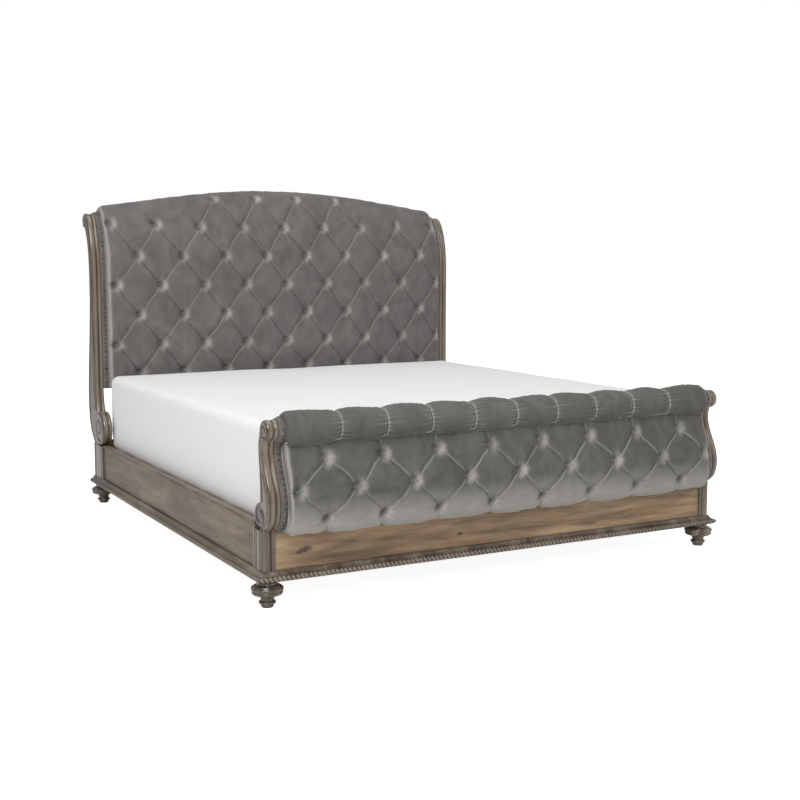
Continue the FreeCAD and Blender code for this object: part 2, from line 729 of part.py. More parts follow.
# Rows of buttons: height, number of buttons, and how far the row stands off centre to the right.
HEADBOARD_ROWS = [(653, 8, 14), (791, 9, 14), (942, 8, 14), (1092, 9, 14), (1240, 8, 14), (1389, 9, 0),
                  (1539, 4, -16)]
FOOTBOARD_ROWS = [(320, 8, -8), (428, 9, 0), (533, 8, 6)]


def headboard_buttons(pad):
    buttons = []
    for z, count, shift in HEADBOARD_ROWS:
        for x in button_columns(count, shift):
            point, normal = headboard_surface(x, z)
            buttons.append(dome(size("button_radius"), size("button_height"), point, normal))
    feature("headboard_buttons", seated(buttons, pad))


FIRST_NAIL = 0.4  # how far in the first nail is, as a share of the nail pitch


def evenly(*curves):
    """Points at the nail pitch along curves that follow one another, each from its end to its start."""
    edges = [curve.toShape() for curve in curves]
    points = []
    offset = size("nail_pitch") * FIRST_NAIL
    for edge in edges:
        while offset < edge.Length:
            points.append(edge.valueAt(edge.getParameterByLength(edge.Length - offset)))
            offset += size("nail_pitch")
        offset -= edge.Length
    return points


def nails_at(points):
    """Nailheads in the middle of both borders, facing square off the line of points.

    The line climbs with the front of the bed on its left.
    """
    nails = []
    x = INNER_X - size("border_width") / 2
    for index, point in enumerate(points):
        before = points[max(index - 1, 0)]
        after = points[min(index + 1, len(points) - 1)]
        tangent = (after - before).normalize()
        normal = Vector(0, -tangent.y, tangent.x)
        for side in (-x, x):
            nails.append(dome(size("nail_radius"), size("nail_height"),
                              Vector(side, point.x, point.y), normal))
    return nails


def headboard_nails(borders):
    lift = camelback(INNER_X - size("border_width") / 2)
    upright, sweep = head_front(size("border_depth"), lift)
    upright = Part.LineSegment(upright.EndPoint, upright.StartPoint)
    feature("headboard_nails", seated(nails_at(evenly(upright, sweep)), borders))


# --- footboard ---------------------------------------------------------------------------------

ROLL_START = -45  # the roll's padding goes round it from here, in degrees
ROLL_END = 275
NAILS_START = 60  # the nails go round the roll's front from here, in degrees
NAILS_END = 240
BACK_PANEL_TOP = 596
PAD_TOP = 582
PAD_FRONT_CURVE = [(-1103, 262), (-1150, 271), (-1185, 310), (-1193, 370), (-1185, 432),
                   (-1158, 500), (-1136, 555), (-1134, PAD_TOP)]


def ring(inner, outer):
    """The roll's padding, open below where the footboard joins it."""
    middle = (ROLL_START + ROLL_END) / 2
    return [
        arc(on_circle(FOOT_ROLL, outer, ROLL_START), on_circle(FOOT_ROLL, outer, middle),
            on_circle(FOOT_ROLL, outer, ROLL_END)),
        *path([on_circle(FOOT_ROLL, outer, ROLL_END), on_circle(FOOT_ROLL, inner, ROLL_END)]),
        arc(on_circle(FOOT_ROLL, inner, ROLL_END), on_circle(FOOT_ROLL, inner, middle),
            on_circle(FOOT_ROLL, inner, ROLL_START)),
        *path([on_circle(FOOT_ROLL, inner, ROLL_START), on_circle(FOOT_ROLL, outer, ROLL_START)]),
    ]


def beside_front(near, far, stop_z=None):
    """A layer that follows the footboard's front line, between two distances in front of it."""
    line = foot_front(stop_z)
    edges = []
    ends = []
    for distance in (near, far):
        points = shifted(line, distance)
        edges.append(spline(points) if distance else line)
        ends.append((points[0], points[-1]))
    return [*edges, *path([ends[0][0], ends[1][0]]), *path([ends[0][1], ends[1][1]])]


def rib_outline():
    """From the back of the plywood to the back panel, above the wooden panel."""
    plywood = spline(shifted(foot_front(), -size("ply_thickness")))
    plywood.segment(parameter_at_height(plywood, size("panel_top")),
                    parameter_at_height(plywood, BACK_PANEL_TOP))
    low, high = plywood.StartPoint, plywood.EndPoint
    back = -size("panel_front") + size("panel_thickness")
    return [plywood, *path([(high.x, high.y), (back, high.y), (back, low.y), (low.x, low.y)])]


def footboard_frame():
    left = "-block_outer_x + block_width"
    inner = "2 * block_outer_x - 2 * block_width"
    roll_core = cylinder("footboard_roll_core", "roll_radius", inner, left, "foot_roll_y", "foot_roll_z")
    roll_core.Placement.Rotation = Rotation(Vector(0, 1, 0), 90)
    node(roll_core, "footboard_roll_core")
    blank = padded_blank("panel_blank", beside_front(0, -size("ply_thickness")), inner, left)
    node(cut("footboard_panel", blank, roll_core), "footboard_panel")
    back = box("footboard_back", inner, "back_thickness", "1", left, "-panel_front + panel_thickness",
               "panel_top")
    bind(back, "Height", f"{BACK_PANEL_TOP} - panel_top")
    node(back, "footboard_back")
    for index, side in enumerate(("-", ""), start=1):
        padded_body(f"footboard_rib_{index}", rib_outline(), "rib_width",
                    f"{side}rib_spacing / 2 - rib_width / 2")


def footboard_pad_outline():
    front = foot_front(PAD_TOP)
    return [front, spline(PAD_FRONT_CURVE), *path([FOOT_FRONT_CURVE[0], PAD_FRONT_CURVE[0]]),
            Part.LineSegment(front.EndPoint, Vector(*PAD_FRONT_CURVE[-1], 0))]


def footboard_upholstery():
    """The pad, the roll's padding and the borders. Returns the borders' shape."""
    pad_left = "-block_outer_x + block_width + border_width"
    pad_width = "2 * block_outer_x - 2 * block_width - 2 * border_width"
    padded_body("footboard_pad", footboard_pad_outline(), pad_width, pad_left)
    padded_body("footboard_roll", ring(ROLL_RADIUS, ROLL_RADIUS + size("roll_pad_depth")),
                pad_width, pad_left)
    depth = size("border_depth")
    borders = []
    for start in (-INNER_X, PAD_X):
        for outline in (beside_front(0, depth, PAD_TOP), ring(ROLL_RADIUS, ROLL_RADIUS + depth)):
            borders.append(extruded(outline, start, size("border_width")))
    borders = Part.makeCompound(borders)
    feature("footboard_borders", borders)
    return borders


def footboard_buttons():
    surface = spline(PAD_FRONT_CURVE)
    buttons = []
    for z, count, shift in FOOTBOARD_ROWS:
        parameter = parameter_at_height(surface, z)
        point = surface.value(parameter)
        tangent = surface.tangent(parameter)[0]
        for x in button_columns(count, shift):
            buttons.append(dome(size("button_radius"), size("button_height"),
                                Vector(x, point.x, point.y), Vector(0, -tangent.y, tangent.x)))
    feature("footboard_buttons", seated(buttons, extruded(footboard_pad_outline(), -PAD_X, 2 * PAD_X)))


def footboard_nails(borders):
    depth = size("border_depth")
    climb = spline(shifted(foot_front(PAD_TOP), depth)[::-1])
    radius = ROLL_RADIUS + depth
    roll = arc(*(on_circle(FOOT_ROLL, radius, angle)
                 for angle in (NAILS_START, (NAILS_START + NAILS_END) / 2, NAILS_END)))
    feature("footboard_nails", seated(nails_at(evenly(climb)) + nails_at(evenly(roll)), borders))


# --- mattress ----------------------------------------------------------------------------------

def mattress():
    blank = box("mattress_blank", "mattress_width", "mattress_length", "mattress_height - mattress_gap",
                "-mattress_width / 2", "mattress_head_y - mattress_length", "slat_top + mattress_gap")
    doc.recompute()
    rounded = doc.addObject("Part::Fillet", "mattress")
    rounded.Base = blank
    radius = size("mattress_rounding")
    top = blank.Shape.BoundBox.ZMax
    rounded.Edges = [(index, radius, radius) for index, edge in enumerate(blank.Shape.Edges, start=1)
                     if abs(edge.BoundBox.ZMin - top) < NEAR]
    node(rounded, "mattress")


# --- assembly ----------------------------------------------------------------------------------

posts_and_feet()
rails_and_panels()
base_mouldings()
slats()
slat_screws()
centre_support()
beam_brackets()
rail_hook_plates()
headboard_frame()
head_pad, head_borders = headboard_upholstery()
headboard_buttons(head_pad)
headboard_nails(head_borders)
footboard_frame()
foot_borders = footboard_upholstery()
footboard_buttons()
footboard_nails(foot_borders)
mattress()
doc.recompute()

failed = [item.Label for item in doc.Objects if {"Invalid", "Error"} & set(item.State)]
failed += [item.Label for item in NODES if item.Shape.isNull() or not item.Shape.isValid()]
if failed:
    raise RuntimeError("these did not build: " + ", ".join(failed))

os.makedirs("parts", exist_ok=True)
for item in NODES:
    item.Shape.exportStep(f"parts/{item.Label}.step")

whole = FreeCAD.BoundBox()
for item in NODES:
    whole.add(item.Shape.BoundBox)
print(len(NODES), "nodes;", "from", [round(value, 2) for value in (whole.XMin, whole.YMin, whole.ZMin)],
      "to", [round(value, 2) for value in (whole.XMax, whole.YMax, whole.ZMax)])
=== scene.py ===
import math

import bmesh
import bpy
import numpy as np
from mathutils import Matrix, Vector


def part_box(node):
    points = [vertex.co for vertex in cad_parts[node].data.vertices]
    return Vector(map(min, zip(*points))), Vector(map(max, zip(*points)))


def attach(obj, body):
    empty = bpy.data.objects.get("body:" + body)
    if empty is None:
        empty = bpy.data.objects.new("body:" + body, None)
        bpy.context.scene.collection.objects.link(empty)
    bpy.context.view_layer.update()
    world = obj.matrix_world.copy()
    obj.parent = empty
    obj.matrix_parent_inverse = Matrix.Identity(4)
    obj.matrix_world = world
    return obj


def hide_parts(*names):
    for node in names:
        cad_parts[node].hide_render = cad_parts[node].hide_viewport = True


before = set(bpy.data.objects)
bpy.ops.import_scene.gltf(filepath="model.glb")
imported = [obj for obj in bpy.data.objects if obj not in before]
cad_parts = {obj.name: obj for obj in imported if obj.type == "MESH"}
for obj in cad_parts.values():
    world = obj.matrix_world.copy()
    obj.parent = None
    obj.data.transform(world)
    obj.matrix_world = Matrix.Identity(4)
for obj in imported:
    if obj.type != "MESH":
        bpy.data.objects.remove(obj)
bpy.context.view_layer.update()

# A sleigh bed, in metres. +X is the right side seen from the foot, +Y points to the head, +Z is up.
# Side-view outlines are (y, z) points measured from the middle of the feet, as the CAD draws them.

FEET_Y = -0.0446
BODY = "bed_frame"
RANDOM = np.random.default_rng(11)

POST_OUTER = 1.025
POST_INNER = 0.980
PAD_EDGE = 0.955
BUTTON_PITCH = 0.231

HEAD_ROLL = np.array([1.2215, 1.4125])
FOOT_ROLL = np.array([-1.110, 0.641])
ROLL_RADIUS = 0.0375
HEAD_FRONT = 1.106
HEAD_BOTTOM = 0.575
SWEEP_START = 1.150
PAD_DEPTH = 0.026
BORDER_DEPTH = 0.006
BLOCK_OUTER = 1.030
BLOCK_WIDTH = 0.050
CREST_RISE = 0.100  # middle of the headboard's top, above its ends
SHOULDER_HOLLOW = 0.32  # at 0 the headboard's top is a plain arch, and at 1 its ends are level


# --- materials ---------------------------------------------------------------------------------

class Surface:
    """A procedural material under construction."""

    def __init__(self, name, **sockets):
        self.material = bpy.data.materials.new(name)
        self.material.use_nodes = True
        self.tree = self.material.node_tree
        self.tree.nodes.clear()
        self.shader = self.add("ShaderNodeBsdfPrincipled", sockets)
        output = self.tree.nodes.new("ShaderNodeOutputMaterial")
        self.tree.links.new(self.shader.outputs[0], output.inputs["Surface"])
        self.coordinates = self.tree.nodes.new("ShaderNodeTexCoord").outputs["Object"]

    def add(self, kind, inputs, **settings):
        node = self.tree.nodes.new(kind)
        for key, value in settings.items():
            setattr(node, key, value)
        for key, value in inputs.items():
            if isinstance(value, bpy.types.NodeSocket):
                self.tree.links.new(value, node.inputs[key])
            else:
                node.inputs[key].default_value = value
        return node

    def set(self, key, socket):
        self.tree.links.new(socket, self.shader.inputs[key])

    def stretched(self, scale):
        return self.add("ShaderNodeMapping", {"Vector": self.coordinates, "Scale": scale}).outputs[0]

    def noise(self, scale, detail=2.0, vector=None, distortion=0.0, roughness=0.5):
        inputs = {"Vector": vector or self.coordinates, "Scale": scale, "Detail": detail,
                  "Distortion": distortion, "Roughness": roughness}
        return self.add("ShaderNodeTexNoise", inputs).outputs["Fac"]

    def wave(self, scale, direction, distortion=0.0, vector=None, detail=2.0):
        inputs = {"Vector": vector or self.coordinates, "Scale": scale, "Distortion": distortion,
                  "Detail": detail}
        return self.add("ShaderNodeTexWave", inputs, bands_direction=direction).outputs["Fac"]

    def ramp(self, socket, stops):
        node = self.add("ShaderNodeValToRGB", {"Fac": socket})
        elements = node.color_ramp.elements
        while len(elements) < len(stops):
            elements.new(0.5)
        for element, (position, colour) in zip(elements, stops):
            element.position = position
            element.color = (*colour, 1.0) if len(colour) == 3 else colour
        return node.outputs["Color"]

    def level(self, socket, low, high, out_low=0.0, out_high=1.0):
        inputs = {"Value": socket, "From Min": low, "From Max": high, "To Min": out_low,
                  "To Max": out_high}
        return self.add("ShaderNodeMapRange", inputs).outputs[0]

    def maths(self, operation, first, second=0.0):
        return self.add("ShaderNodeMath", {0: first, 1: second}, operation=operation).outputs[0]

    def mix(self, factor, first, second, blend="MIX"):
        node = self.add("ShaderNodeMix", {}, data_type="RGBA", blend_type=blend)
        for index, value in ((0, factor), (6, first), (7, second)):
            if isinstance(value, bpy.types.NodeSocket):
                self.tree.links.new(value, node.inputs[index])
            else:
                node.inputs[index].default_value = value if index == 0 else (*value, 1.0)
        return node.outputs[2]

    def attribute(self, name):
        return self.add("ShaderNodeAttribute", {}, attribute_name=name).outputs["Fac"]

    def bump(self, height, distance, strength=1.0):
        inputs = {"Height": height, "Distance": distance, "Strength": strength}
        self.set("Normal", self.add("ShaderNodeBump", inputs).outputs[0])


def velvet(name, dark, light, shine):
    """Short pile: brushed patches, with a painted sheen where the pile would catch the light and painted
    shade in creases and dimples.
    """
    surface = Surface(name, **{"Roughness": 0.88, "Sheen Weight": 0.55, "Sheen Roughness": 0.32,
                               "Sheen Tint": (0.80, 0.79, 0.78, 1.0), "Specular IOR Level": 0.25})
    patches = surface.noise(5.5, 3.0, distortion=1.6)
    strokes = surface.noise(26.0, 4.0, surface.stretched((1.0, 1.0, 0.35)), distortion=0.8)
    pile = surface.noise(900.0, 2.0)
    mixture = surface.maths("ADD", surface.maths("MULTIPLY", patches, 0.62),
                            surface.maths("MULTIPLY", strokes, 0.38))
    colour = surface.ramp(mixture, [(0.30, dark), (0.72, light)])
    speck = surface.level(pile, 0.3, 0.7, 0.86, 1.1)
    colour = surface.mix(1.0, colour, surface.ramp(speck, [(0.0, (0.0,) * 3), (1.0, (1.0,) * 3)]),
                         "MULTIPLY")
    # Painted highlight: the shine colour where the pile would catch the light (fold lips, button glints,
    # edges).
    colour = surface.mix(surface.maths("MULTIPLY", surface.attribute("painted_sheen"), 0.85), colour, shine)
    # Painted shade: a darker colour in creases and dimples.
    colour = surface.mix(surface.maths("MULTIPLY", surface.attribute("painted_shade"), 0.65), colour,
                         tuple(0.25 * value for value in dark))
    surface.set("Base Color", colour)
    surface.bump(surface.maths("ADD", surface.maths("MULTIPLY", pile, 0.35), strokes), 0.0007, 0.6)
    return surface.material


def wood(name, along, dark, middle, light, knots=(), shine=0.45, coat=0.25):
    """Stained and glazed wood. along is the axis that its grain follows.

    knots are (x, z, radius) places on a board that faces along Y.
    """
    surface = Surface(name, **{"Coat Weight": coat, "Coat Roughness": 0.22, "Specular IOR Level": 0.45})
    stretch = [1.0 if axis == along else 13.0 for axis in "XYZ"]
    slow = [0.55 if axis == along else 3.2 for axis in "XYZ"]
    long = [0.16 if axis == along else 10.0 for axis in "XYZ"]
    streaks = surface.noise(2.2, 9.0, surface.stretched(stretch), distortion=0.35, roughness=0.62)
    figure = surface.noise(2.4, 3.0, surface.stretched(slow), distortion=1.3)
    pores = surface.noise(30.0, 3.0, surface.stretched(long))
    patina = surface.noise(4.5, 3.0, surface.stretched(slow), distortion=0.8)
    tone = surface.maths("ADD", surface.maths("MULTIPLY", streaks, 0.42),
                         surface.maths("ADD", surface.maths("MULTIPLY", figure, 0.38),
                                       surface.maths("MULTIPLY", patina, 0.20)))
    colour = surface.ramp(tone, [(0.39, dark), (0.50, middle), (0.61, light)])
    lines = surface.level(pores, 0.56, 0.70, 0.0, 0.55)
    colour = surface.mix(lines, colour, tuple(0.3 * value for value in dark))
    for x, z, radius in knots:
        squeezed = surface.add("ShaderNodeVectorMath", {0: surface.coordinates, 1: (0.7, 0.0, 1.5)},
                               operation="MULTIPLY").outputs["Vector"]
        away = surface.add("ShaderNodeVectorMath", {0: squeezed, 1: (0.7 * x, 0.0, 1.5 * z)},
                           operation="DISTANCE").outputs["Value"]
        fray = surface.maths("MULTIPLY", surface.noise(60.0, 4.0), radius * 1.5)
        ragged = surface.maths("ADD", away, fray)
        colour = surface.mix(surface.level(ragged, radius * 1.1, radius * 1.9, 0.85, 0.0), colour,
                             tuple(0.22 * value for value in dark))
    rubbed = surface.noise(9.0, 5.0, surface.stretched(slow), distortion=0.6)
    wear = surface.level(rubbed, 0.50, 0.74, 0.0, 0.5)
    colour = surface.mix(wear, colour, tuple(0.45 * value for value in dark))
    # Glaze in carved grooves; on the rope moulding this also carries painted shadow lines beside the bead.
    colour = surface.mix(surface.maths("MULTIPLY", surface.attribute("glaze_and_painted_shade"), 0.88), colour,
                         tuple(0.12 * value for value in dark))
    worn = tuple(min(1.35 * value, 1.0) for value in light)
    colour = surface.mix(surface.maths("MULTIPLY", surface.attribute("worn"), 0.7), colour, worn)
    surface.set("Base Color", colour)
    surface.set("Roughness", surface.level(streaks, 0.3, 0.7, shine - 0.10, shine + 0.14))
    surface.bump(surface.maths("SUBTRACT", streaks, surface.maths("MULTIPLY", pores, 0.6)), 0.0012, 0.5)
    return surface.material


def bare_wood(name, along, dark, light):
    """Planed softwood or plywood, unfinished."""
    surface = Surface(name, **{"Specular IOR Level": 0.3})
    stretch = [1.0 if axis == along else 9.0 for axis in "XYZ"]
    grain = surface.noise(3.2, 7.0, surface.stretched(stretch), distortion=0.5)
    rings = surface.wave(5.0, "Z" if along != "Z" else "X", 7.0, surface.stretched(stretch))
    tone = surface.maths("ADD", surface.maths("MULTIPLY", grain, 0.7), surface.maths("MULTIPLY", rings, 0.3))
    surface.set("Base Color", surface.ramp(tone, [(0.3, dark), (0.7, light)]))
    surface.set("Roughness", surface.level(grain, 0.3, 0.7, 0.62, 0.8))
    surface.bump(grain, 0.0010, 0.5)
    return surface.material


def metal(name, dark, light, rough, scale):
    surface = Surface(name, **{"Metallic": 1.0})
    patina = surface.noise(scale, 4.0, distortion=0.4)
    surface.set("Base Color", surface.ramp(patina, [(0.35, dark), (0.62, light)]))
    surface.set("Roughness", surface.level(patina, 0.3, 0.7, rough + 0.15, rough))
    surface.bump(surface.noise(scale * 3, 2.0), 0.0002, 0.5)
    return surface.material


def moulded_plastic(name, colour):
    surface = Surface(name, **{"Specular IOR Level": 0.4})
    grain = surface.noise(700.0, 2.0)
    surface.set("Base Color", surface.ramp(grain, [(0.3, tuple(0.8 * value for value in colour)),
                                                   (0.7, tuple(1.2 * value for value in colour))]))
    surface.set("Roughness", surface.level(grain, 0.3, 0.7, 0.45, 0.6))
    surface.bump(grain, 0.0002, 0.5)
    return surface.material


def woven(name, dark, light, thread, rough=0.9):
    """Plain weave cloth: crossed threads that do not depend on how the cloth is unwrapped."""
    surface = Surface(name, **{"Sheen Weight": 0.2, "Sheen Roughness": 0.5, "Specular IOR Level": 0.2})
    across = surface.wave(thread, "X", 0.6)
    upward = surface.wave(thread, "Z", 0.6)
    forward = surface.wave(thread, "Y", 0.6)
    threads = surface.maths("MAXIMUM", surface.maths("MULTIPLY", across, 0.9),
                            surface.maths("MAXIMUM", upward, surface.maths("MULTIPLY", forward, 0.8)))
    slub = surface.noise(60.0, 4.0)
    tone = surface.maths("ADD", surface.maths("MULTIPLY", threads, 0.15),
                         surface.maths("MULTIPLY", slub, 0.85))
    surface.set("Base Color", surface.ramp(tone, [(0.25, dark), (0.75, light)]))
    surface.set("Roughness", surface.level(slub, 0.3, 0.7, rough - 0.08, rough + 0.05))
    surface.bump(surface.maths("ADD", surface.maths("MULTIPLY", threads, 0.15), slub), 0.0004, 0.5)
    return surface.material


FLOOR_GLOW = 0.90  # as a lit studio floor, so that it stays pale to the horizon


def floor_finish():
    surface = Surface("studio_floor", **{"Specular IOR Level": 0.1})
    mottle = surface.noise(1.4, 3.0)
    surface.set("Base Color", surface.ramp(mottle, [(0.3, (0.93, 0.93, 0.93)), (0.7, (0.95, 0.95, 0.95))]))
    surface.set("Roughness", surface.level(mottle, 0.3, 0.7, 0.9, 1.0))
    seen = surface.add("ShaderNodeLightPath", {}).outputs["Is Camera Ray"]
    surface.set("Emission Color", surface.ramp(mottle, [(0.3, (0.98, 0.98, 0.98)), (0.7, (1.0, 1.0, 1.0))]))
    surface.set("Emission Strength", surface.maths("MULTIPLY", seen, FLOOR_GLOW))
    return surface.material


PECAN = {"dark": (0.060, 0.043, 0.028), "middle": (0.150, 0.112, 0.078), "light": (0.250, 0.194, 0.140)}
RUSSET = {"dark": (0.068, 0.045, 0.026), "middle": (0.150, 0.104, 0.065), "light": (0.250, 0.182, 0.118)}
WARM = {"dark": (0.145, 0.088, 0.044), "middle": (0.340, 0.220, 0.118), "light": (0.510, 0.358, 0.212)}
UMBER = {"dark": (0.050, 0.036, 0.025), "middle": (0.120, 0.091, 0.066), "light": (0.240, 0.198, 0.156)}

PANEL_KNOTS = [(-0.860, 0.199, 0.020), (-0.882, 0.191, 0.013), (-0.211, 0.185, 0.012), (0.612, 0.199, 0.005)]

MATERIALS = {
    "velvet": velvet("grey_velvet", (0.112, 0.105, 0.101), (0.190, 0.179, 0.173), (0.55, 0.53, 0.50)),
    # The same grey velvet, painted darker as shade, for the footboard, its roll and piping.
    "footboard_painted_shade_velvet": velvet("shaded_grey_velvet", (0.084, 0.080, 0.074), (0.156, 0.150, 0.139),
                          (0.58, 0.56, 0.51)),
    "button_velvet": velvet("button_velvet", (0.105, 0.098, 0.092), (0.190, 0.180, 0.170),
                            (0.30, 0.29, 0.28)),
    "post_wood": wood("pecan_upright", "Z", **PECAN, shine=0.28, coat=0.8),
    "rail_wood": wood("pecan_rails", "Y", **RUSSET),
    "panel_wood": wood("pecan_panel", "X", **WARM, knots=PANEL_KNOTS),
    "moulding_wood": wood("dark_moulding", "Y", **UMBER, shine=0.36, coat=0.4),
    "foot_wood": wood("dark_feet", "Z", **UMBER, shine=0.22, coat=0.9),
    "pine_across": bare_wood("pine_across", "X", (0.42, 0.27, 0.14), (0.66, 0.49, 0.30)),
    "pine_along": bare_wood("pine_along", "Y", (0.40, 0.26, 0.13), (0.63, 0.46, 0.28)),
    "pine_upright": bare_wood("pine_upright", "Z", (0.40, 0.26, 0.13), (0.63, 0.46, 0.28)),
    "plywood": bare_wood("plywood", "X", (0.36, 0.25, 0.14), (0.58, 0.43, 0.27)),
    "back_fabric": woven("back_cloth", (0.085, 0.080, 0.076), (0.165, 0.158, 0.150), 260.0),
    "nail_metal": metal("aged_nailhead", (0.022, 0.019, 0.016), (0.28, 0.25, 0.21), 0.20, 240.0),
    "steel": metal("zinc_plate", (0.42, 0.42, 0.43), (0.62, 0.62, 0.63), 0.3, 60.0),
    "glide_plastic": moulded_plastic("black_nylon", (0.03, 0.03, 0.03)),
    "white_cover": woven("white_stretch_cover", (0.83, 0.83, 0.84), (0.90, 0.90, 0.91), 420.0, 0.85),
}


# --- curves and meshes ---------------------------------------------------------------------------

def smooth_line(points, spacing=0.004):
    """Evenly spaced points on a smooth curve through the given ones: a natural cubic spline."""
    points = np.array(points, float)
    knots = np.concatenate([[0.0], np.cumsum(np.linalg.norm(np.diff(points, axis=0), axis=1))])
    gaps = np.diff(knots)
    system = np.eye(len(points))
    right = np.zeros_like(points)
    for i in range(1, len(points) - 1):
        system[i, i - 1:i + 2] = gaps[i - 1], 2 * (gaps[i - 1] + gaps[i]), gaps[i]
        right[i] = 6 * ((points[i + 1] - points[i]) / gaps[i] - (points[i] - points[i - 1]) / gaps[i - 1])
    bend = np.linalg.solve(system, right)
    at = np.linspace(0, knots[-1], int(knots[-1] / spacing) + 2)
    k = np.clip(np.searchsorted(knots, at, side="right") - 1, 0, len(gaps) - 1)
    gap = gaps[k][:, None]
    done = (at - knots[k])[:, None]
    rest = gap - done
    return ((bend[k] * rest ** 3 + bend[k + 1] * done ** 3) / (6 * gap)
            + (points[k] / gap - bend[k] * gap / 6) * rest
            + (points[k + 1] / gap - bend[k + 1] * gap / 6) * done)


def circle_arc(centre, radius, start, end, spacing=0.004):
    """Points on a circle from one angle to another, in degrees."""
    count = max(int(abs(end - start) * math.pi / 180 * radius / spacing), 6)
    turn = np.radians(np.linspace(start, end, count + 1))
    return np.column_stack([centre[0] + radius * np.cos(turn), centre[1] + radius * np.sin(turn)])


def joined(*lines):
    """Lines end to end, without the points that they share."""
    kept = [lines[0]]
    for line in lines[1:]:
        kept.append(line[1:])
    return np.vstack(kept)


def resampled(line, count):
    """The same line with a number of evenly spaced points."""
    run = np.concatenate([[0.0], np.cumsum(np.linalg.norm(np.diff(line, axis=0), axis=1))])
    at = np.linspace(0, run[-1], count)
    return np.column_stack([np.interp(at, run, line[:, axis]) for axis in range(line.shape[1])])


def normals_of(line):
    """Unit normals to the left of a 2-D line's direction."""
    tangent = np.gradient(line, axis=0)
    tangent /= np.linalg.norm(tangent, axis=1)[:, None]
    return np.column_stack([-tangent[:, 1], tangent[:, 0]])


def at_place(x, y, z):
    """Grid of points, with y measured from the middle of the feet."""
    x, y, z = np.broadcast_arrays(x, y, z)
    return np.stack([x, y + FEET_Y, z], axis=-1)


def piece(name, points, faces, material, body=BODY, smooth=True, attributes=None):
    """A mesh object in the row frame that rides on a body."""
    mesh = bpy.data.meshes.new(name)
    mesh.from_pydata(points.reshape(-1, 3).tolist(), [], faces)
    for key, values in (attributes or {}).items():
        field = mesh.attributes.new(key, "FLOAT", "POINT")
        field.data.foreach_set("value", values.ravel().astype(np.float32))
    mesh.validate()
    work = bmesh.new()
    work.from_mesh(mesh)
    bmesh.ops.remove_doubles(work, verts=work.verts, dist=0.00004)
    bmesh.ops.recalc_face_normals(work, faces=work.faces)
    work.to_mesh(mesh)
    work.free()
    mesh.polygons.foreach_set("use_smooth", [smooth] * len(mesh.polygons))
    mesh.materials.append(MATERIALS[material])
    obj = bpy.data.objects.new(name, mesh)
    bpy.context.scene.collection.objects.link(obj)
    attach(obj, body)
    return obj


def grid_faces(rows, columns, start=0):
    index = start + np.arange(rows * columns).reshape(rows, columns)
    quads = np.stack([index[:-1, :-1], index[:-1, 1:], index[1:, 1:], index[1:, :-1]], axis=-1)
    return quads.reshape(-1, 4).tolist()


def stops(count, step):
    return sorted(set(range(0, count, step)) | {count - 1})


def closed_shell(outer, inner, step):
    """Points and faces of a shell: a fine outer grid, a coarse inner one, and walls between them."""
    rows, columns = outer.shape[:2]
    row_stops, column_stops = stops(rows, step), stops(columns, step)
    coarse = inner[np.ix_(row_stops, column_stops)]
    faces = grid_faces(rows, columns)
    base = rows * columns
    wide = len(column_stops)
    faces += [face[::-1] for face in grid_faces(len(row_stops), wide, base)]

    def coarse_index(r, c):
        return base + r * wide + c

    for a in range(wide - 1):
        fine = list(range(column_stops[a], column_stops[a + 1] + 1))
        for row, coarse_row in ((0, 0), (rows - 1, len(row_stops) - 1)):
            edge = [row * columns + column for column in fine]
            faces.append(edge + [coarse_index(coarse_row, a + 1), coarse_index(coarse_row, a)])
    for a in range(len(row_stops) - 1):
        fine = list(range(row_stops[a], row_stops[a + 1] + 1))
        for column, coarse_column in ((0, 0), (columns - 1, wide - 1)):
            edge = [row * columns + column for row in fine]
            faces.append(edge + [coarse_index(a + 1, coarse_column), coarse_index(a, coarse_column)])
    return np.vstack([outer.reshape(-1, 3), coarse.reshape(-1, 3)]), faces, (row_stops, column_stops)


def with_coarse(values, row_stops, column_stops):
    """A fine grid's values followed by those of its coarse twin."""
    return np.concatenate([values.ravel(), values[np.ix_(row_stops, column_stops)].ravel()])


def ripple(x, v, length, waves=7):
    """A smooth random field between about -1 and 1, with bumps about length apart."""
    total = np.zeros(np.broadcast(x, v).shape)
    for _ in range(waves):
        heading = RANDOM.uniform(0, 2 * math.pi)
        pace = 2 * math.pi / (length * RANDOM.uniform(0.7, 1.5))
        phase = RANDOM.uniform(0, 2 * math.pi)
        total += np.sin(pace * (x * math.cos(heading) + v * math.sin(heading)) + phase)
    return total / math.sqrt(waves)


# --- deep buttoning ------------------------------------------------------------------------------

STEPS = 32
FINE_X = BUTTON_PITCH / (2 * STEPS)


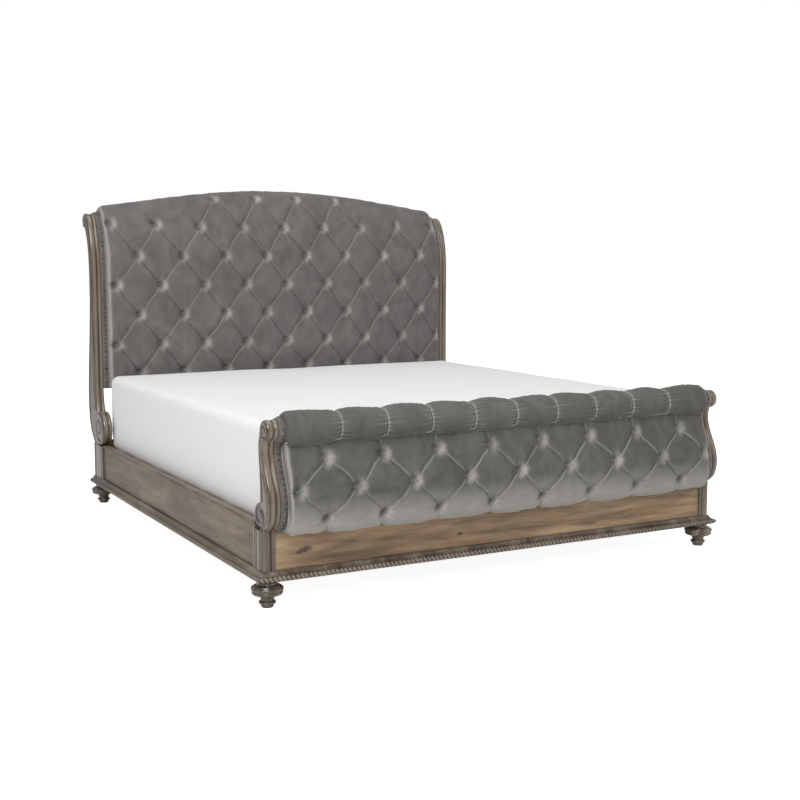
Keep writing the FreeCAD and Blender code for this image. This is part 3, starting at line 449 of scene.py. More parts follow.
class Tufting:
    """Relief of a buttoned pad on a grid of pattern places, in metres: across, and up the pad."""

    def __init__(self, across, upward):
        self.across = across
        self.upward = upward
        shape = (len(upward), len(across))
        self.folds = np.zeros(shape)
        self.dimples = np.zeros(shape)
        self.stars = np.zeros(shape)
        # lip holds painted highlight, and the next array painted shade in creases and dimples; both only
        # colour the velvet.
        self.lip = np.zeros(shape)
        self.painted_shade_marks = np.zeros(shape)

    def near(self, low, high, margin):
        """Slices of the grid round a box, and its places there."""
        columns = slice(*np.searchsorted(self.across, [low[0] - margin, high[0] + margin]))
        rows = slice(*np.searchsorted(self.upward, [low[1] - margin, high[1] + margin]))
        x, v = np.meshgrid(self.across[columns], self.upward[rows])
        return (rows, columns), x, v

    def fold(self, start, end, depth, sharp=0.0030, soft=0.0105, fade=0.0, double=0.0, shine=0.42):
        """A pleat from one place to another: steep on its right, gentle on its left."""
        low = np.minimum(start, end)
        high = np.maximum(start, end)
        where, x, v = self.near(low, high, 0.075)
        dx, dv = end[0] - start[0], end[1] - start[1]
        run = math.hypot(dx, dv)
        along = ((x - start[0]) * dx + (v - start[1]) * dv) / run ** 2
        off = ((x - start[0]) * dv - (v - start[1]) * dx) / run
        inside = np.clip(along, 0, 1)
        beyond = np.maximum(np.maximum(-along, along - 1), 0) * run
        reach = np.where(off > 0, sharp, soft) * (1 - 0.25 * np.sin(math.pi * inside))
        strength = depth * (1 - 0.18 * np.sin(math.pi * inside)) * (1 - fade * inside)
        cut = strength * np.exp(-np.hypot(off, beyond) / reach)
        if double:
            beside = np.hypot(off + double, beyond)
            second = 0.75 * strength * np.exp(-beside / sharp) * np.sin(math.pi * inside) ** 0.5
            cut = np.maximum(cut, second)
        self.folds[where] = np.maximum(self.folds[where], cut)
        # Painted light along the pleat: a highlight line on its lip, and painted shade along its crease.
        line = np.exp(-beyond / 0.008) * strength / depth * RANDOM.uniform(0.6, 1.0)
        lip = shine * np.exp(-((off - 0.0042) / 0.0018) ** 2) * line
        self.lip[where] = np.maximum(self.lip[where], lip)
        dark = 0.45 * np.exp(-(off / 0.0024) ** 2) * line * min(depth / 0.0075, 1)
        self.painted_shade_marks[where] = np.maximum(self.painted_shade_marks[where], dark)

    def button(self, place, depth, width, star, rays):
        """A dimple with creases that radiate from it."""
        where, x, v = self.near(place, place, 0.12)
        r = np.hypot(x - place[0], v - place[1])
        turn = np.arctan2(v - place[1], x - place[0])
        bowl = depth * np.exp(-np.maximum(r - 0.010, 0) / width)
        self.dimples[where] = np.maximum(self.dimples[where], bowl)
        # Painted shade in the dimple, darkest on its upper left side, away from the light.
        shade = np.exp(-(r / 0.021) ** 2) * (0.35 + 0.65 * np.clip(0.5 - 0.6 * np.cos(turn - 0.2), 0, 1))
        self.painted_shade_marks[where] = np.maximum(self.painted_shade_marks[where], shade)
        phase = RANDOM.uniform(0, 2 * math.pi, 3)
        rays = rays + RANDOM.integers(-1, 2)
        wave = np.cos(rays * turn + phase[0]) + 0.6 * np.cos((rays + 3) * turn + phase[1])
        wave += 0.4 * np.cos((2 * rays - 1) * turn + phase[2])
        self.stars[where] += star * wave * np.exp(-((r - 0.026) / 0.020) ** 2)
        # Painted highlight: a glint on the dimple's lower right wall, facing the light.
        glint = np.exp(-((r - 0.022) / 0.014) ** 2) * np.clip(0.5 + 0.5 * np.cos(turn + 0.25), 0, 1) ** 1.6
        glint *= (0.80 + 0.20 * np.cos((2 * rays + 3) * turn + phase[0])) * RANDOM.uniform(0.6, 1.0)
        self.lip[where] = np.maximum(self.lip[where], glint)

    def relief(self, puff):
        """Height over the skin, the painted shade, and the painted highlight."""
        low = self.folds + self.dimples
        puffed = puff * np.exp(-self.folds / 0.0055) * np.exp(-self.dimples / 0.006)
        height = puffed + self.stars - low
        painted_shade = np.clip(self.painted_shade_marks, 0, 1)
        return height, painted_shade, np.clip(self.lip, 0, 1)


def button_places(count):
    return [BUTTON_PITCH * (index - (count - 1) / 2) for index in range(count)]


def lattice_folds(tufting, rows, upward, depths, **shape):
    """Diagonal pleats between the buttons of neighbouring rows."""
    for (row, count), (_, next_count) in zip(enumerate(rows), enumerate(rows[1:])):
        for x in button_places(count):
            for far in button_places(next_count):
                if abs(abs(far - x) - BUTTON_PITCH / 2) < 0.001:
                    rising_left = far < x
                    tufting.fold((x, upward[row]), (far, upward[row + 1]),
                                 depths[0] if rising_left else depths[1], **shape)


def edge_rounding(x, half, radius):
    """0 at the pad's side edges and 1 from a radius inside them, along a quarter circle."""
    inset = np.clip((half - np.abs(x)) / radius, 0, 1)
    return np.sqrt(np.clip(1 - (1 - inset) ** 2, 0, 1))


DOME_SWEEP = 0.62 * math.pi  # a covered button is a dome that turns under at its rim


def button_mesh(name, places, radius, height, replaced):
    """Covered buttons: domes with a rolled rim, one for each (point, normal)."""
    rings, sides = 7, 28
    points, faces = [], []
    for point, normal in places:
        normal = Vector(normal).normalized()
        across = normal.orthogonal().normalized()
        other = normal.cross(across)
        base = len(points)
        points.append(Vector(point) + normal * height)
        for ring_index in range(1, rings + 1):
            t = ring_index / rings
            out = radius * math.sin(t * DOME_SWEEP)
            rise = height * math.cos(t * DOME_SWEEP)
            for side in range(sides):
                angle = 2 * math.pi * side / sides
                pleat = 1 + 0.02 * t * math.cos(9 * angle)
                points.append(Vector(point) + normal * rise
                              + (across * math.cos(angle) + other * math.sin(angle)) * out * pleat)
        faces += [(base, base + 1 + side, base + 1 + (side + 1) % sides) for side in range(sides)]
        for ring_index in range(rings - 1):
            first = base + 1 + ring_index * sides
            for side in range(sides):
                after = (side + 1) % sides
                faces.append((first + side, first + sides + side, first + sides + after, first + after))
        faces.append(tuple(base + 1 + (rings - 1) * sides + side for side in range(sides)))
    array = np.array([list(point) for point in points])
    obj = piece(name, array, faces, "button_velvet")
    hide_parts(replaced)
    return obj


# --- headboard -----------------------------------------------------------------------------------

HEAD_ROWS = [8, 9, 8, 9, 8, 9]
HEAD_ROW_SHIFTS = [0.014, 0.014, 0.014, 0.014, 0.014, 0.0]
HEAD_ROW_HEIGHTS = [0.653, 0.791, 0.942, 1.092, 1.240, 1.389]
TOP_ROW = [-1.5, -0.5, 0.5, 1.5]
HEAD_ROW_STEP = 0.148
HEM_ROW_STEP = 0.138  # from the lowest row down to the hem
TOP_SHIFT = -0.016
TOP_RUN = 5 * HEAD_ROW_STEP + 0.166


def camelback(x):
    """How far the top of the headboard is above its ends."""
    arch = np.clip(1 - (x / POST_INNER) ** 2, 0, 1)
    return CREST_RISE * arch * (1 - SHOULDER_HOLLOW * (1 - arch))


class HeadSkin:
    """The headboard's side-view line at a distance in front of the posts' own front line."""

    def __init__(self, offset):
        self.narrow = HEAD_ROLL[0] - HEAD_FRONT + offset
        self.tall = HEAD_ROLL[1] + ROLL_RADIUS - SWEEP_START + offset
        self.round = ROLL_RADIUS + offset
        self.turns = np.linspace(0, math.pi / 2, 400)
        speed = np.hypot(self.narrow * np.sin(self.turns), self.tall * np.cos(self.turns))
        step = self.turns[1]
        self.runs = np.concatenate([[0.0], np.cumsum((speed[1:] + speed[:-1]) / 2 * step)])
        self.sweep = self.runs[-1]

    def length(self, x):
        return SWEEP_START - HEAD_BOTTOM + camelback(x) + self.sweep + math.pi * self.round

    def run_at_height(self, x, z):
        """Distance along the line from its bottom to a height on the front."""
        start = SWEEP_START + camelback(x)
        if z <= start:
            return z - HEAD_BOTTOM
        turn = math.asin(min((z - start) / self.tall, 1.0))
        return start - HEAD_BOTTOM + float(np.interp(turn, self.turns, self.runs))

    def place(self, x, run):
        """y, z and the outward direction at distances along the line."""
        start = SWEEP_START + camelback(x)
        past = run - (start - HEAD_BOTTOM)
        turn = np.interp(np.clip(past, 0, self.sweep), self.runs, self.turns)
        spin = np.clip((past - self.sweep) / self.round, 0, math.pi)
        on_front = past <= self.sweep
        y = np.where(on_front, HEAD_ROLL[0] - self.narrow * np.cos(turn),
                     HEAD_ROLL[0] + self.round * np.sin(spin))
        z = np.where(on_front, np.minimum(past, 0) + start + self.tall * np.sin(turn),
                     HEAD_ROLL[1] + camelback(x) + self.round * np.cos(spin))
        ny = np.where(on_front, -np.cos(turn) / self.narrow, np.sin(spin))
        nz = np.where(on_front, np.sin(turn) / self.tall, np.cos(spin))
        size = np.hypot(ny, nz)
        return y, z, ny / size, nz / size


def headboard_pad():
    skin = HeadSkin(PAD_DEPTH)
    half_columns = int(PAD_EDGE / FINE_X)
    across = np.concatenate([[-PAD_EDGE], np.arange(-half_columns, half_columns + 1) * FINE_X, [PAD_EDGE]])
    below = int((HEAD_ROW_HEIGHTS[0] - HEAD_BOTTOM) / HEM_ROW_STEP * STEPS)
    last = 8 * STEPS
    levels = np.concatenate([[-(HEAD_ROW_HEIGHTS[0] - HEAD_BOTTOM) / HEM_ROW_STEP],
                             np.arange(-below, last + 1) / STEPS])
    tufting = Tufting(across, levels * HEAD_ROW_STEP)
    heights = np.arange(len(HEAD_ROWS)) * HEAD_ROW_STEP
    lattice_folds(tufting, HEAD_ROWS, heights, (0.0075, 0.0050))
    for x in button_places(9):
        for side in (-0.5, 0.5):
            far = x + side * BUTTON_PITCH
            meets = any(abs(far / BUTTON_PITCH - place) < 0.01 for place in TOP_ROW)
            if meets:
                tufting.fold((x, heights[5]), (far + TOP_SHIFT, TOP_RUN), 0.0075)
        tufting.fold((x, heights[5]), (x + 0.006, heights[5] + 0.055), 0.0050, fade=0.95)
    for row, count in enumerate(HEAD_ROWS):
        for x in button_places(count):
            tufting.button((x, heights[row]), 0.0150, 0.012, 0.0009, 8)
    for place in TOP_ROW:
        x = place * BUTTON_PITCH + TOP_SHIFT
        tufting.button((x, TOP_RUN), 0.0140, 0.012, 0.0009, 8)
        for side in (-0.20, 0.20):
            tufting.fold((x, TOP_RUN), (x + side * BUTTON_PITCH, TOP_RUN + 0.06), 0.005, fade=0.95)
    for row in range(1, len(HEAD_ROWS), 2):
        for side in (-1, 1):
            tufting.fold((side * 4 * BUTTON_PITCH, heights[row]), (side * PAD_EDGE, heights[row]), 0.006)
    x, v = np.meshgrid(across, levels * HEAD_ROW_STEP)
    puff = 0.0065 * (1 + 0.12 * ripple(x, v, 0.25))
    height, painted_shade, lip = tufting.relief(puff)
    height += 0.0008 * ripple(x, v, 0.075) + 0.0004 * ripple(x, v, 0.03)

    runs = np.zeros_like(x)
    for column, place in enumerate(across):
        knots = [skin.run_at_height(place, z) for z in HEAD_ROW_HEIGHTS]
        run = np.interp(levels, np.arange(len(knots)), knots)
        run = np.where(levels < 0, knots[0] + levels * HEM_ROW_STEP, run)
        top = knots[-1] + (6.5 - 5) * HEAD_ROW_STEP
        end = float(skin.length(place))
        run = np.where(levels > 5, knots[-1] + (levels - 5) * HEAD_ROW_STEP, run)
        run = np.where(levels > 6.5, top + (levels - 6.5) / 1.5 * (end - top), run)
        runs[:, column] = run
    window = edge_rounding(x, PAD_EDGE, 0.1)
    ends = np.minimum(1, np.minimum(runs, skin.length(x) - runs) / 0.05)
    row_shift = np.interp(v / HEAD_ROW_STEP, range(len(HEAD_ROWS)), HEAD_ROW_SHIFTS)
    shift_x = window * (row_shift + 0.0028 * ends * ripple(x, v, 0.12))
    shift_run = 0.0028 * window * ends * ripple(x, v, 0.12)
    near_top_row = np.exp(-((v / HEAD_ROW_STEP - 5) / 0.6) ** 2)
    shift_run += 0.014 * np.clip((np.abs(x) - 0.5) / 0.2, 0, 1) * near_top_row
    rounding = edge_rounding(x, PAD_EDGE, 0.024)
    # Painted highlight: a light strip along the pad's side edges.
    lip = np.maximum(lip, 0.6 * np.exp(-((PAD_EDGE - np.abs(x) - 0.006) / 0.006) ** 2))
    hidden = np.clip((skin.length(x) - runs) / 0.05, 0, 1)
    height = (-0.012 + (height + 0.012) * rounding) * hidden
    y, z, ny, nz = skin.place(x, np.clip(runs + shift_run, 0, skin.length(x)))
    outer = at_place(x + shift_x, y + ny * height, z + nz * height)
    inner_skin = HeadSkin(0.0)
    share = runs / skin.length(x)
    iy, iz, _, _ = inner_skin.place(x, share * inner_skin.length(x))
    inner = at_place(x, iy, iz)
    points, faces, marks = closed_shell(outer, inner, STEPS)
    obj = piece("headboard_velvet", points, faces, "velvet",
                attributes={"painted_shade": with_coarse(painted_shade, *marks), "painted_sheen": with_coarse(lip, *marks)})
    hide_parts("headboard_pad")

    places = []
    top_places = [t * BUTTON_PITCH + TOP_SHIFT for t in TOP_ROW]
    button_rows = [(row, button_places(count)) for row, count in enumerate(HEAD_ROWS)]
    for row, row_places in button_rows + [(TOP_RUN / HEAD_ROW_STEP, top_places)]:
        row_index = int(np.argmin(np.abs(levels - row)))
        for place in row_places:
            column = int(np.argmin(np.abs(across - place)))
            normal = (0.0, ny[row_index, column], nz[row_index, column])
            places.append((outer[row_index, column] - 0.003 * np.array(normal), normal))
    button_mesh("headboard_button_covers", places, 0.0135, 0.0075, "headboard_buttons")


def strip(line, normals, x_low, x_high, depth):
    """Grid of a flat border that follows a side-view line, its edges rounded over."""
    columns = np.linspace(0, 1, 11)
    crown = depth * (1 - 0.55 * np.abs(2 * columns - 1) ** 5)
    crown[0] = crown[-1] = 0.0
    x = x_low + (x_high - x_low) * columns
    pull = 0.0004 * np.sin(np.arange(len(line)) * 0.9)[:, None] * np.sin(math.pi * columns)
    y = line[:, 0][:, None] + normals[:, 0][:, None] * (crown + pull)
    z = line[:, 1][:, None] + normals[:, 1][:, None] * (crown + pull)
    inner = at_place(x[None, :], line[:, 0][:, None] - normals[:, 0][:, None] * 0.0005,
                     line[:, 1][:, None] - normals[:, 1][:, None] * 0.0005)
    return at_place(x[None, :], y, z), inner


def border_piece(name, strips, node_name):
    """Several border strips as one piece."""
    points, faces = [], []
    for outer, inner in strips:
        part, part_faces, _ = closed_shell(outer, inner, 5)
        start = sum(len(block) for block in points)
        faces += [[index + start for index in face] for face in part_faces]
        points.append(part)
    obj = piece(name, np.vstack(points), faces, "velvet")
    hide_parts(node_name)


def headboard_borders():
    skin = HeadSkin(0.0)
    strips = []
    for side in (-1, 1):
        x_mid = (PAD_EDGE + POST_INNER) / 2
        run = np.linspace(0, float(skin.length(x_mid)), 420)
        y, z, ny, nz = skin.place(x_mid, run)
        low, high = sorted((side * PAD_EDGE, side * POST_INNER))
        strips.append(strip(np.column_stack([y, z]), np.column_stack([ny, nz]), low, high, BORDER_DEPTH))
    border_piece("headboard_border_strips", strips, "headboard_borders")


# --- footboard -----------------------------------------------------------------------------------

FOOT_ROWS = [8, 9, 8]
FOOT_ROW_HEIGHTS = [0.320, 0.428, 0.533]
FOOT_ROW_SHIFTS = [-0.008, 0.0, 0.006]
FOOT_PAD_LINE = [(-1.103, 0.262), (-1.150, 0.271), (-1.185, 0.310), (-1.193, 0.370), (-1.185, 0.432),
                 (-1.158, 0.500), (-1.136, 0.555), (-1.134, 0.582), (-1.139, 0.597)]
FOOT_POST_FRONT = [(-1.103, 0.280), (-1.143, 0.311), (-1.161, 0.365), (-1.154, 0.422), (-1.129, 0.477),
                   (-1.105, 0.531), (-1.099, 0.570),
                   (FOOT_ROLL[0] + ROLL_RADIUS * math.cos(math.radians(-85)),
                    FOOT_ROLL[1] + ROLL_RADIUS * math.sin(math.radians(-85)))]
FOOT_ROW_STEP = 0.106
CHANNEL = 0.187


def footboard_pad():
    line = smooth_line(FOOT_PAD_LINE, 0.002)
    run = np.concatenate([[0.0], np.cumsum(np.linalg.norm(np.diff(line, axis=0), axis=1))])
    rising = int(np.argmin(line[:60, 1]))
    knots = [float(np.interp(z, line[rising:, 1], run[rising:])) for z in FOOT_ROW_HEIGHTS]
    half_columns = int(PAD_EDGE / FINE_X)
    across = np.concatenate([[-PAD_EDGE], np.arange(-half_columns, half_columns + 1) * FINE_X, [PAD_EDGE]])
    lowest = -knots[0] / FOOT_ROW_STEP
    highest = 2 + (run[-1] - knots[2]) / FOOT_ROW_STEP
    fine = 28
    inside = np.arange(math.ceil(lowest * fine), math.floor(highest * fine) + 1) / fine
    levels = np.unique(np.concatenate([[lowest], inside, [highest]]))
    tufting = Tufting(across, levels * FOOT_ROW_STEP)
    heights = np.arange(3) * FOOT_ROW_STEP
    lattice_folds(tufting, FOOT_ROWS, heights, (0.0055, 0.0045), double=0.007, soft=0.0075, shine=0.70)
    for row, count in enumerate(FOOT_ROWS):
        for x in button_places(count):
            tufting.button((x, heights[row]), 0.0150, 0.013, 0.0016, 10)
    for x in button_places(8):
        tufting.fold((x, heights[2]), (x - 0.012, highest * FOOT_ROW_STEP), 0.0070, double=0.007, shine=0.6)
        tufting.fold((x, heights[0]), (x + 0.004, lowest * FOOT_ROW_STEP), 0.0060, double=0.007)
    for x in button_places(9):
        tufting.fold((x, heights[2] + 0.045), (x - 0.006, highest * FOOT_ROW_STEP), 0.002, sharp=0.003,
                     soft=0.006, shine=0.1)
    for side in (-1, 1):
        tufting.fold((side * 4 * BUTTON_PITCH, heights[1]), (side * PAD_EDGE, heights[1]), 0.006)
    x, v = np.meshgrid(across, levels * FOOT_ROW_STEP)
    puff = 0.0085 * (1 + 0.15 * ripple(x, v, 0.2))
    height, painted_shade, lip = tufting.relief(puff)
    height += 0.0011 * ripple(x, v, 0.07) + 0.0006 * ripple(x, v, 0.028)

    runs = np.interp(levels, [lowest, 0, 1, 2, highest], [0.0, *knots, run[-1]])[:, None] + 0 * x
    normals = normals_of(line)
    window = edge_rounding(x, PAD_EDGE, 0.1) * np.clip(np.minimum(runs, run[-1] - runs) / 0.04, 0, 1)
    runs_shifted = runs + 0.0022 * window * ripple(x, v, 0.1)
    row_shift = np.interp(levels, [0, 1, 2], FOOT_ROW_SHIFTS)[:, None]
    shift_x = window * (row_shift + 0.0025 * ripple(x, v, 0.1))
    y = np.interp(runs_shifted, run, line[:, 0])
    z = np.interp(runs_shifted, run, line[:, 1])
    ny = np.interp(runs_shifted, run, normals[:, 0])
    nz = np.interp(runs_shifted, run, normals[:, 1])
    rounding = edge_rounding(x, PAD_EDGE, 0.022)
    # Painted highlight: lighter towards the bottom of the pad, and a light strip along its side edges.
    lip = np.maximum(lip, 0.58 * np.clip((0.40 - z) / 0.10, 0, 1) * (1 - 0.5 * painted_shade))
    lip = np.maximum(lip, 0.6 * np.exp(-((PAD_EDGE - np.abs(x) - 0.006) / 0.005) ** 2))
    height = -0.014 + (height + 0.014) * rounding
    tuck = np.clip(runs / 0.030, 0, 1) * np.clip((run[-1] - runs) / 0.02, 0.3, 1)
    height = height * tuck
    lobe = np.abs(np.sin(math.pi * (x / BUTTON_PITCH - 0.5))) ** 0.55
    at_hem = np.clip(1 - np.maximum(runs - 0.035, 0) / 0.05, 0, 1) ** 1.5
    lift = (0.013 * (1 - lobe) + 0.012 * np.clip((np.abs(x) - 0.83) / 0.06, 0, 1)) * at_hem
    outer = at_place(x + shift_x, y + ny * height, z + nz * height + lift)

    post = smooth_line(FOOT_POST_FRONT, 0.002)
    post = resampled(np.vstack([[(-1.103, 0.281)], post[1:-12]]), 200)
    share = np.linspace(0, 1, 200)
    inner = at_place(x, np.interp(runs / run[-1], share, post[:, 0]),
                     np.interp(runs / run[-1], share, post[:, 1]))
    points, faces, marks = closed_shell(outer, inner, fine)
    obj = piece("footboard_velvet", points, faces, "footboard_painted_shade_velvet",
                attributes={"painted_shade": with_coarse(painted_shade, *marks), "painted_sheen": with_coarse(lip, *marks)})
    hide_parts("footboard_pad")

    places = []
    for row, count in enumerate(FOOT_ROWS):
        row_index = int(np.argmin(np.abs(levels - row)))
        for place in button_places(count):
            column = int(np.argmin(np.abs(across - place)))
            normal = (0.0, ny[row_index, column], nz[row_index, column])
            places.append((outer[row_index, column] - 0.003 * np.array(normal), normal))
    button_mesh("footboard_button_covers", places, 0.0135, 0.0075, "footboard_buttons")


def footboard_roll():
    """The roll's padding: ten channels with gathers beside each seam."""
    valleys = np.arange(-4, 5) * CHANNEL
    beside = np.array([0.0, 0.0012, 0.0025, 0.004, 0.006, 0.0085])
    beside = np.concatenate([-beside, beside])
    evenly = [x for x in np.linspace(-PAD_EDGE, PAD_EDGE, 384) if np.abs(x - valleys).min() > 0.0105]
    across = np.unique(np.concatenate([evenly, (valleys[:, None] + beside).ravel()]).round(5))
    turns = np.radians(np.linspace(-45, 275, 170))
    x, turn = np.meshgrid(across, turns)
    nearest = valleys[np.argmin(np.abs(x[..., None] - valleys), axis=-1)]
    off = np.abs(x - nearest)
    crown = 0.0090 * np.clip(1 - np.exp(-off / 0.024), 0, 1)
    groove = 0.0090 * np.exp(-off / 0.0040)
    gathers = np.zeros_like(x)
    for valley in valleys:
        phase = RANDOM.uniform(0, 2 * math.pi, 3)
        side = np.sign(x - valley) * 0.7
        wave = (np.cos(22 * turn + phase[0] + side) + 0.7 * np.cos(31 * turn + phase[1] - side)
                + 0.5 * np.cos(13 * turn + phase[2]))
        reach = 0.022 + 0.012 * np.cos(5 * turn + phase[1])
        low_side = np.clip((turn - 1.9) / 0.6, 0.25, 1)
        gathers += 0.0014 * wave * low_side * np.exp(-np.abs(x - valley) / reach)
    sag = 0.0025 * ripple(x, 0.09 * turn, 0.16) * np.clip(off / 0.03, 0, 1)
    edge = edge_rounding(x, PAD_EDGE, 0.020)
    radius = 0.0545 + crown - groove + gathers + sag + 0.0006 * ripple(x, 0.09 * turn, 0.03)
    radius = 0.0445 + (radius - 0.0445) * edge
    outer = at_place(x, FOOT_ROLL[0] + radius * np.cos(turn), FOOT_ROLL[1] + radius * np.sin(turn))
    inner = at_place(x, FOOT_ROLL[0] + ROLL_RADIUS * np.cos(turn), FOOT_ROLL[1] + ROLL_RADIUS * np.sin(turn))
    points, faces, marks = closed_shell(outer, inner, 13)
    # Painted shade in the seams and gather troughs, and painted highlight beside the seams and on the
    # gathers' crests.
    painted_shade = 0.5 * np.exp(-(off / 0.0025) ** 2) + 0.45 * np.clip(-gathers / 0.0030, 0, 1)
    lip = np.exp(-((off - 0.0050) / 0.0025) ** 2) * 0.45 + np.clip(gathers / 0.0025, 0, 1) * 0.25
    obj = piece("footboard_roll_velvet", points, faces, "footboard_painted_shade_velvet",
                attributes={"painted_shade": with_coarse(painted_shade, *marks),
                            "painted_sheen": with_coarse(np.clip(lip, 0, 1), *marks)})
    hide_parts("footboard_roll")


def roll_piping():
    """A thin welt in the seam between the roll and the pad below it."""
    x = np.linspace(-PAD_EDGE, PAD_EDGE, 500)
    wave = 0.0015 * np.sin(2 * math.pi * x / CHANNEL) + 0.0007 * np.sin(2 * math.pi * x / 0.047)
    y = -1.1452 + wave
    z = 0.5985 + wave
    turns = np.linspace(0, 2 * math.pi, 11)[:-1]
    radius = 0.0028
    rings = np.stack([at_place(x, y + radius * math.cos(t), z + radius * math.sin(t)) for t in turns],
                     axis=1)
    count = len(turns)
    faces = []
    for i in range(len(x) - 1):
        for k in range(count):
            after = (k + 1) % count
            faces.append((i * count + k, i * count + after, (i + 1) * count + after, (i + 1) * count + k))
    faces.append(tuple(range(count)))
    faces.append(tuple((len(x) - 1) * count + k for k in range(count))[::-1])
    # Painted sheen over the whole welt.
    bright = np.full(rings.shape[:2], 0.55)
    piece("footboard_roll_piping", rings, faces, "footboard_painted_shade_velvet", attributes={"painted_sheen": bright})


def footboard_borders():
    front = smooth_line(FOOT_POST_FRONT, 0.0028)
    front = front[front[:, 1] < 0.6025]
    ring = circle_arc(FOOT_ROLL, ROLL_RADIUS, 275, -45, 0.0028)
    strips = []
    for side in (-1, 1):
        low, high = sorted((side * PAD_EDGE, side * POST_INNER))
        for line in (front, ring):
            strips.append(strip(line, normals_of(line), low, high, BORDER_DEPTH))
    border_piece("footboard_border_strips", strips, "footboard_borders")


# --- posts, blocks and mouldings -------------------------------------------------------------------

def reed_depth(u):
    """Depth of the two reeds and their groove, u in from the post's outer face."""
    depth = np.full_like(u, 0.006)
    for centre, half, low in ((0.014, 0.0135, 0.006), (0.037, 0.0085, 0.005)):
        inside = np.clip(1 - ((u - centre) / half) ** 2, 0, None)
        depth = np.minimum(depth, np.where(inside > 0, low * (1 - np.sqrt(inside)), 0.006))
    return depth


def spiral_relief(y, z, centre, radius, turns, hand, start):
    """Carved volute that winds in to a round eye. Returns its depth and where it rules."""
    dy, dz = y - centre[0], z - centre[1]
    r = np.hypot(dy, dz)
    turn = np.arctan2(dz, dy)
    phase = (1 - r / radius) * turns - hand * (turn - start) / (2 * math.pi)
    phase = phase - np.floor(phase)
    gap = np.minimum(phase, 1 - phase)
    ridged = turns < 1.5  # a short spiral is a thin ridge, and a longer one a groove
    groove = 1 - np.exp(-(gap / 0.20) ** 2) if ridged else np.exp(-(gap / 0.15) ** 2)
    eye = r < radius * 0.20
    ball = 0.0035 * np.sqrt(np.clip(1 - (r / (radius * 0.2)) ** 2, 0, 1))
    depth = np.where(eye, -ball, 0.0042 * groove)
    rule = np.clip((radius * 1.0 - r) / (radius * 0.10), 0, 1)
    return depth, rule


def scroll_post(name, front, back, side, volutes, replaced):
    """A post: reeded edges all round, and carved volutes on its outer face.

    front and back are lines from the bottom up to the top of the roll.
    """
    rows = 430
    front = resampled(front, rows)
    back = resampled(back, rows)
    outline = np.vstack([front, back[::-1][1:]])
    closed = np.vstack([outline[-1:], outline, outline[:1]])
    tangent = closed[2:] - closed[:-2]
    tangent /= np.maximum(np.linalg.norm(tangent, axis=1), 1e-9)[:, None]
    inward = np.column_stack([tangent[:, 1], -tangent[:, 0]])
    across = np.linspace(0, 1, 25)
    u = across * (POST_OUTER - POST_INNER)
    depth = reed_depth(u)
    flat = np.ones(len(outline))
    flat[0] = flat[-1] = 0.0
    y = outline[:, 0][:, None] + inward[:, 0][:, None] * depth * flat[:, None]
    z = outline[:, 1][:, None] + inward[:, 1][:, None] * depth * flat[:, None]
    x = side * (POST_OUTER - u)
    rim = at_place(x[None, :], y, z)
    glaze_rim = np.clip((depth - 0.0022) / 0.0020, 0, 1)[None, :] * np.ones((len(outline), 1))
    worn_rim = np.clip(1 - depth / 0.0009, 0, 1)[None, :] * np.ones((len(outline), 1))

    width = np.linalg.norm(back - front, axis=1)
    share = 0.5 - 0.5 * np.cos(np.linspace(0, math.pi, 35))
    edge_front = np.column_stack([y[:rows, 0], z[:rows, 0]])
    edge_back = np.column_stack([y[rows - 1:, 0], z[rows - 1:, 0]])[::-1]
    cap_y = edge_front[:, 0][:, None] * (1 - share) + edge_back[:, 0][:, None] * share
    cap_z = edge_front[:, 1][:, None] * (1 - share) + edge_back[:, 1][:, None] * share
    from_edge = np.minimum(share, 1 - share)[None, :] * width[:, None]
    carve = 0.0040 * np.exp(-((from_edge - 0.0125) / 0.0028) ** 2)
    carve += 0.0032 * np.exp(-((from_edge - 0.0225) / 0.0025) ** 2) * (width[:, None] > 0.056)
    carve -= 0.0012 * np.clip(np.sin(math.pi * np.clip(from_edge / 0.011, 0, 1)), 0, 1)
    for centre, radius, turns, hand, start in volutes:
        groove, rule = spiral_relief(cap_y, cap_z, centre, radius, turns, hand, start)
        carve = carve * (1 - rule) + groove * rule
    carve = carve * np.clip(from_edge / 0.0025, 0, 1)
    cap = at_place(side * (POST_OUTER - carve), cap_y, cap_z)
    glaze_cap = np.clip((carve - 0.0005) / 0.0016, 0, 1)
    worn_cap = np.clip((0.0002 - carve) / 0.0010, 0, 1) * np.clip(from_edge / 0.004, 0, 1)

    columns = len(across)
    faces = []
    total = len(outline)
    for i in range(total):
        j = (i + 1) % total
        for k in range(columns - 1):
            faces.append((i * columns + k, j * columns + k, j * columns + k + 1, i * columns + k + 1))
    faces.append([i * columns + columns - 1 for i in range(total)])
    faces += grid_faces(rows, len(share), total * columns)
    points = np.vstack([rim.reshape(-1, 3), cap.reshape(-1, 3)])
    glaze_and_painted_shade = np.concatenate([glaze_rim.ravel(), glaze_cap.ravel()])
    worn = 0.6 * np.concatenate([worn_rim.ravel(), worn_cap.ravel()])
    obj = piece(name, points, faces, "post_wood", attributes={"glaze_and_painted_shade": glaze_and_painted_shade, "worn": worn})
    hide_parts(replaced)


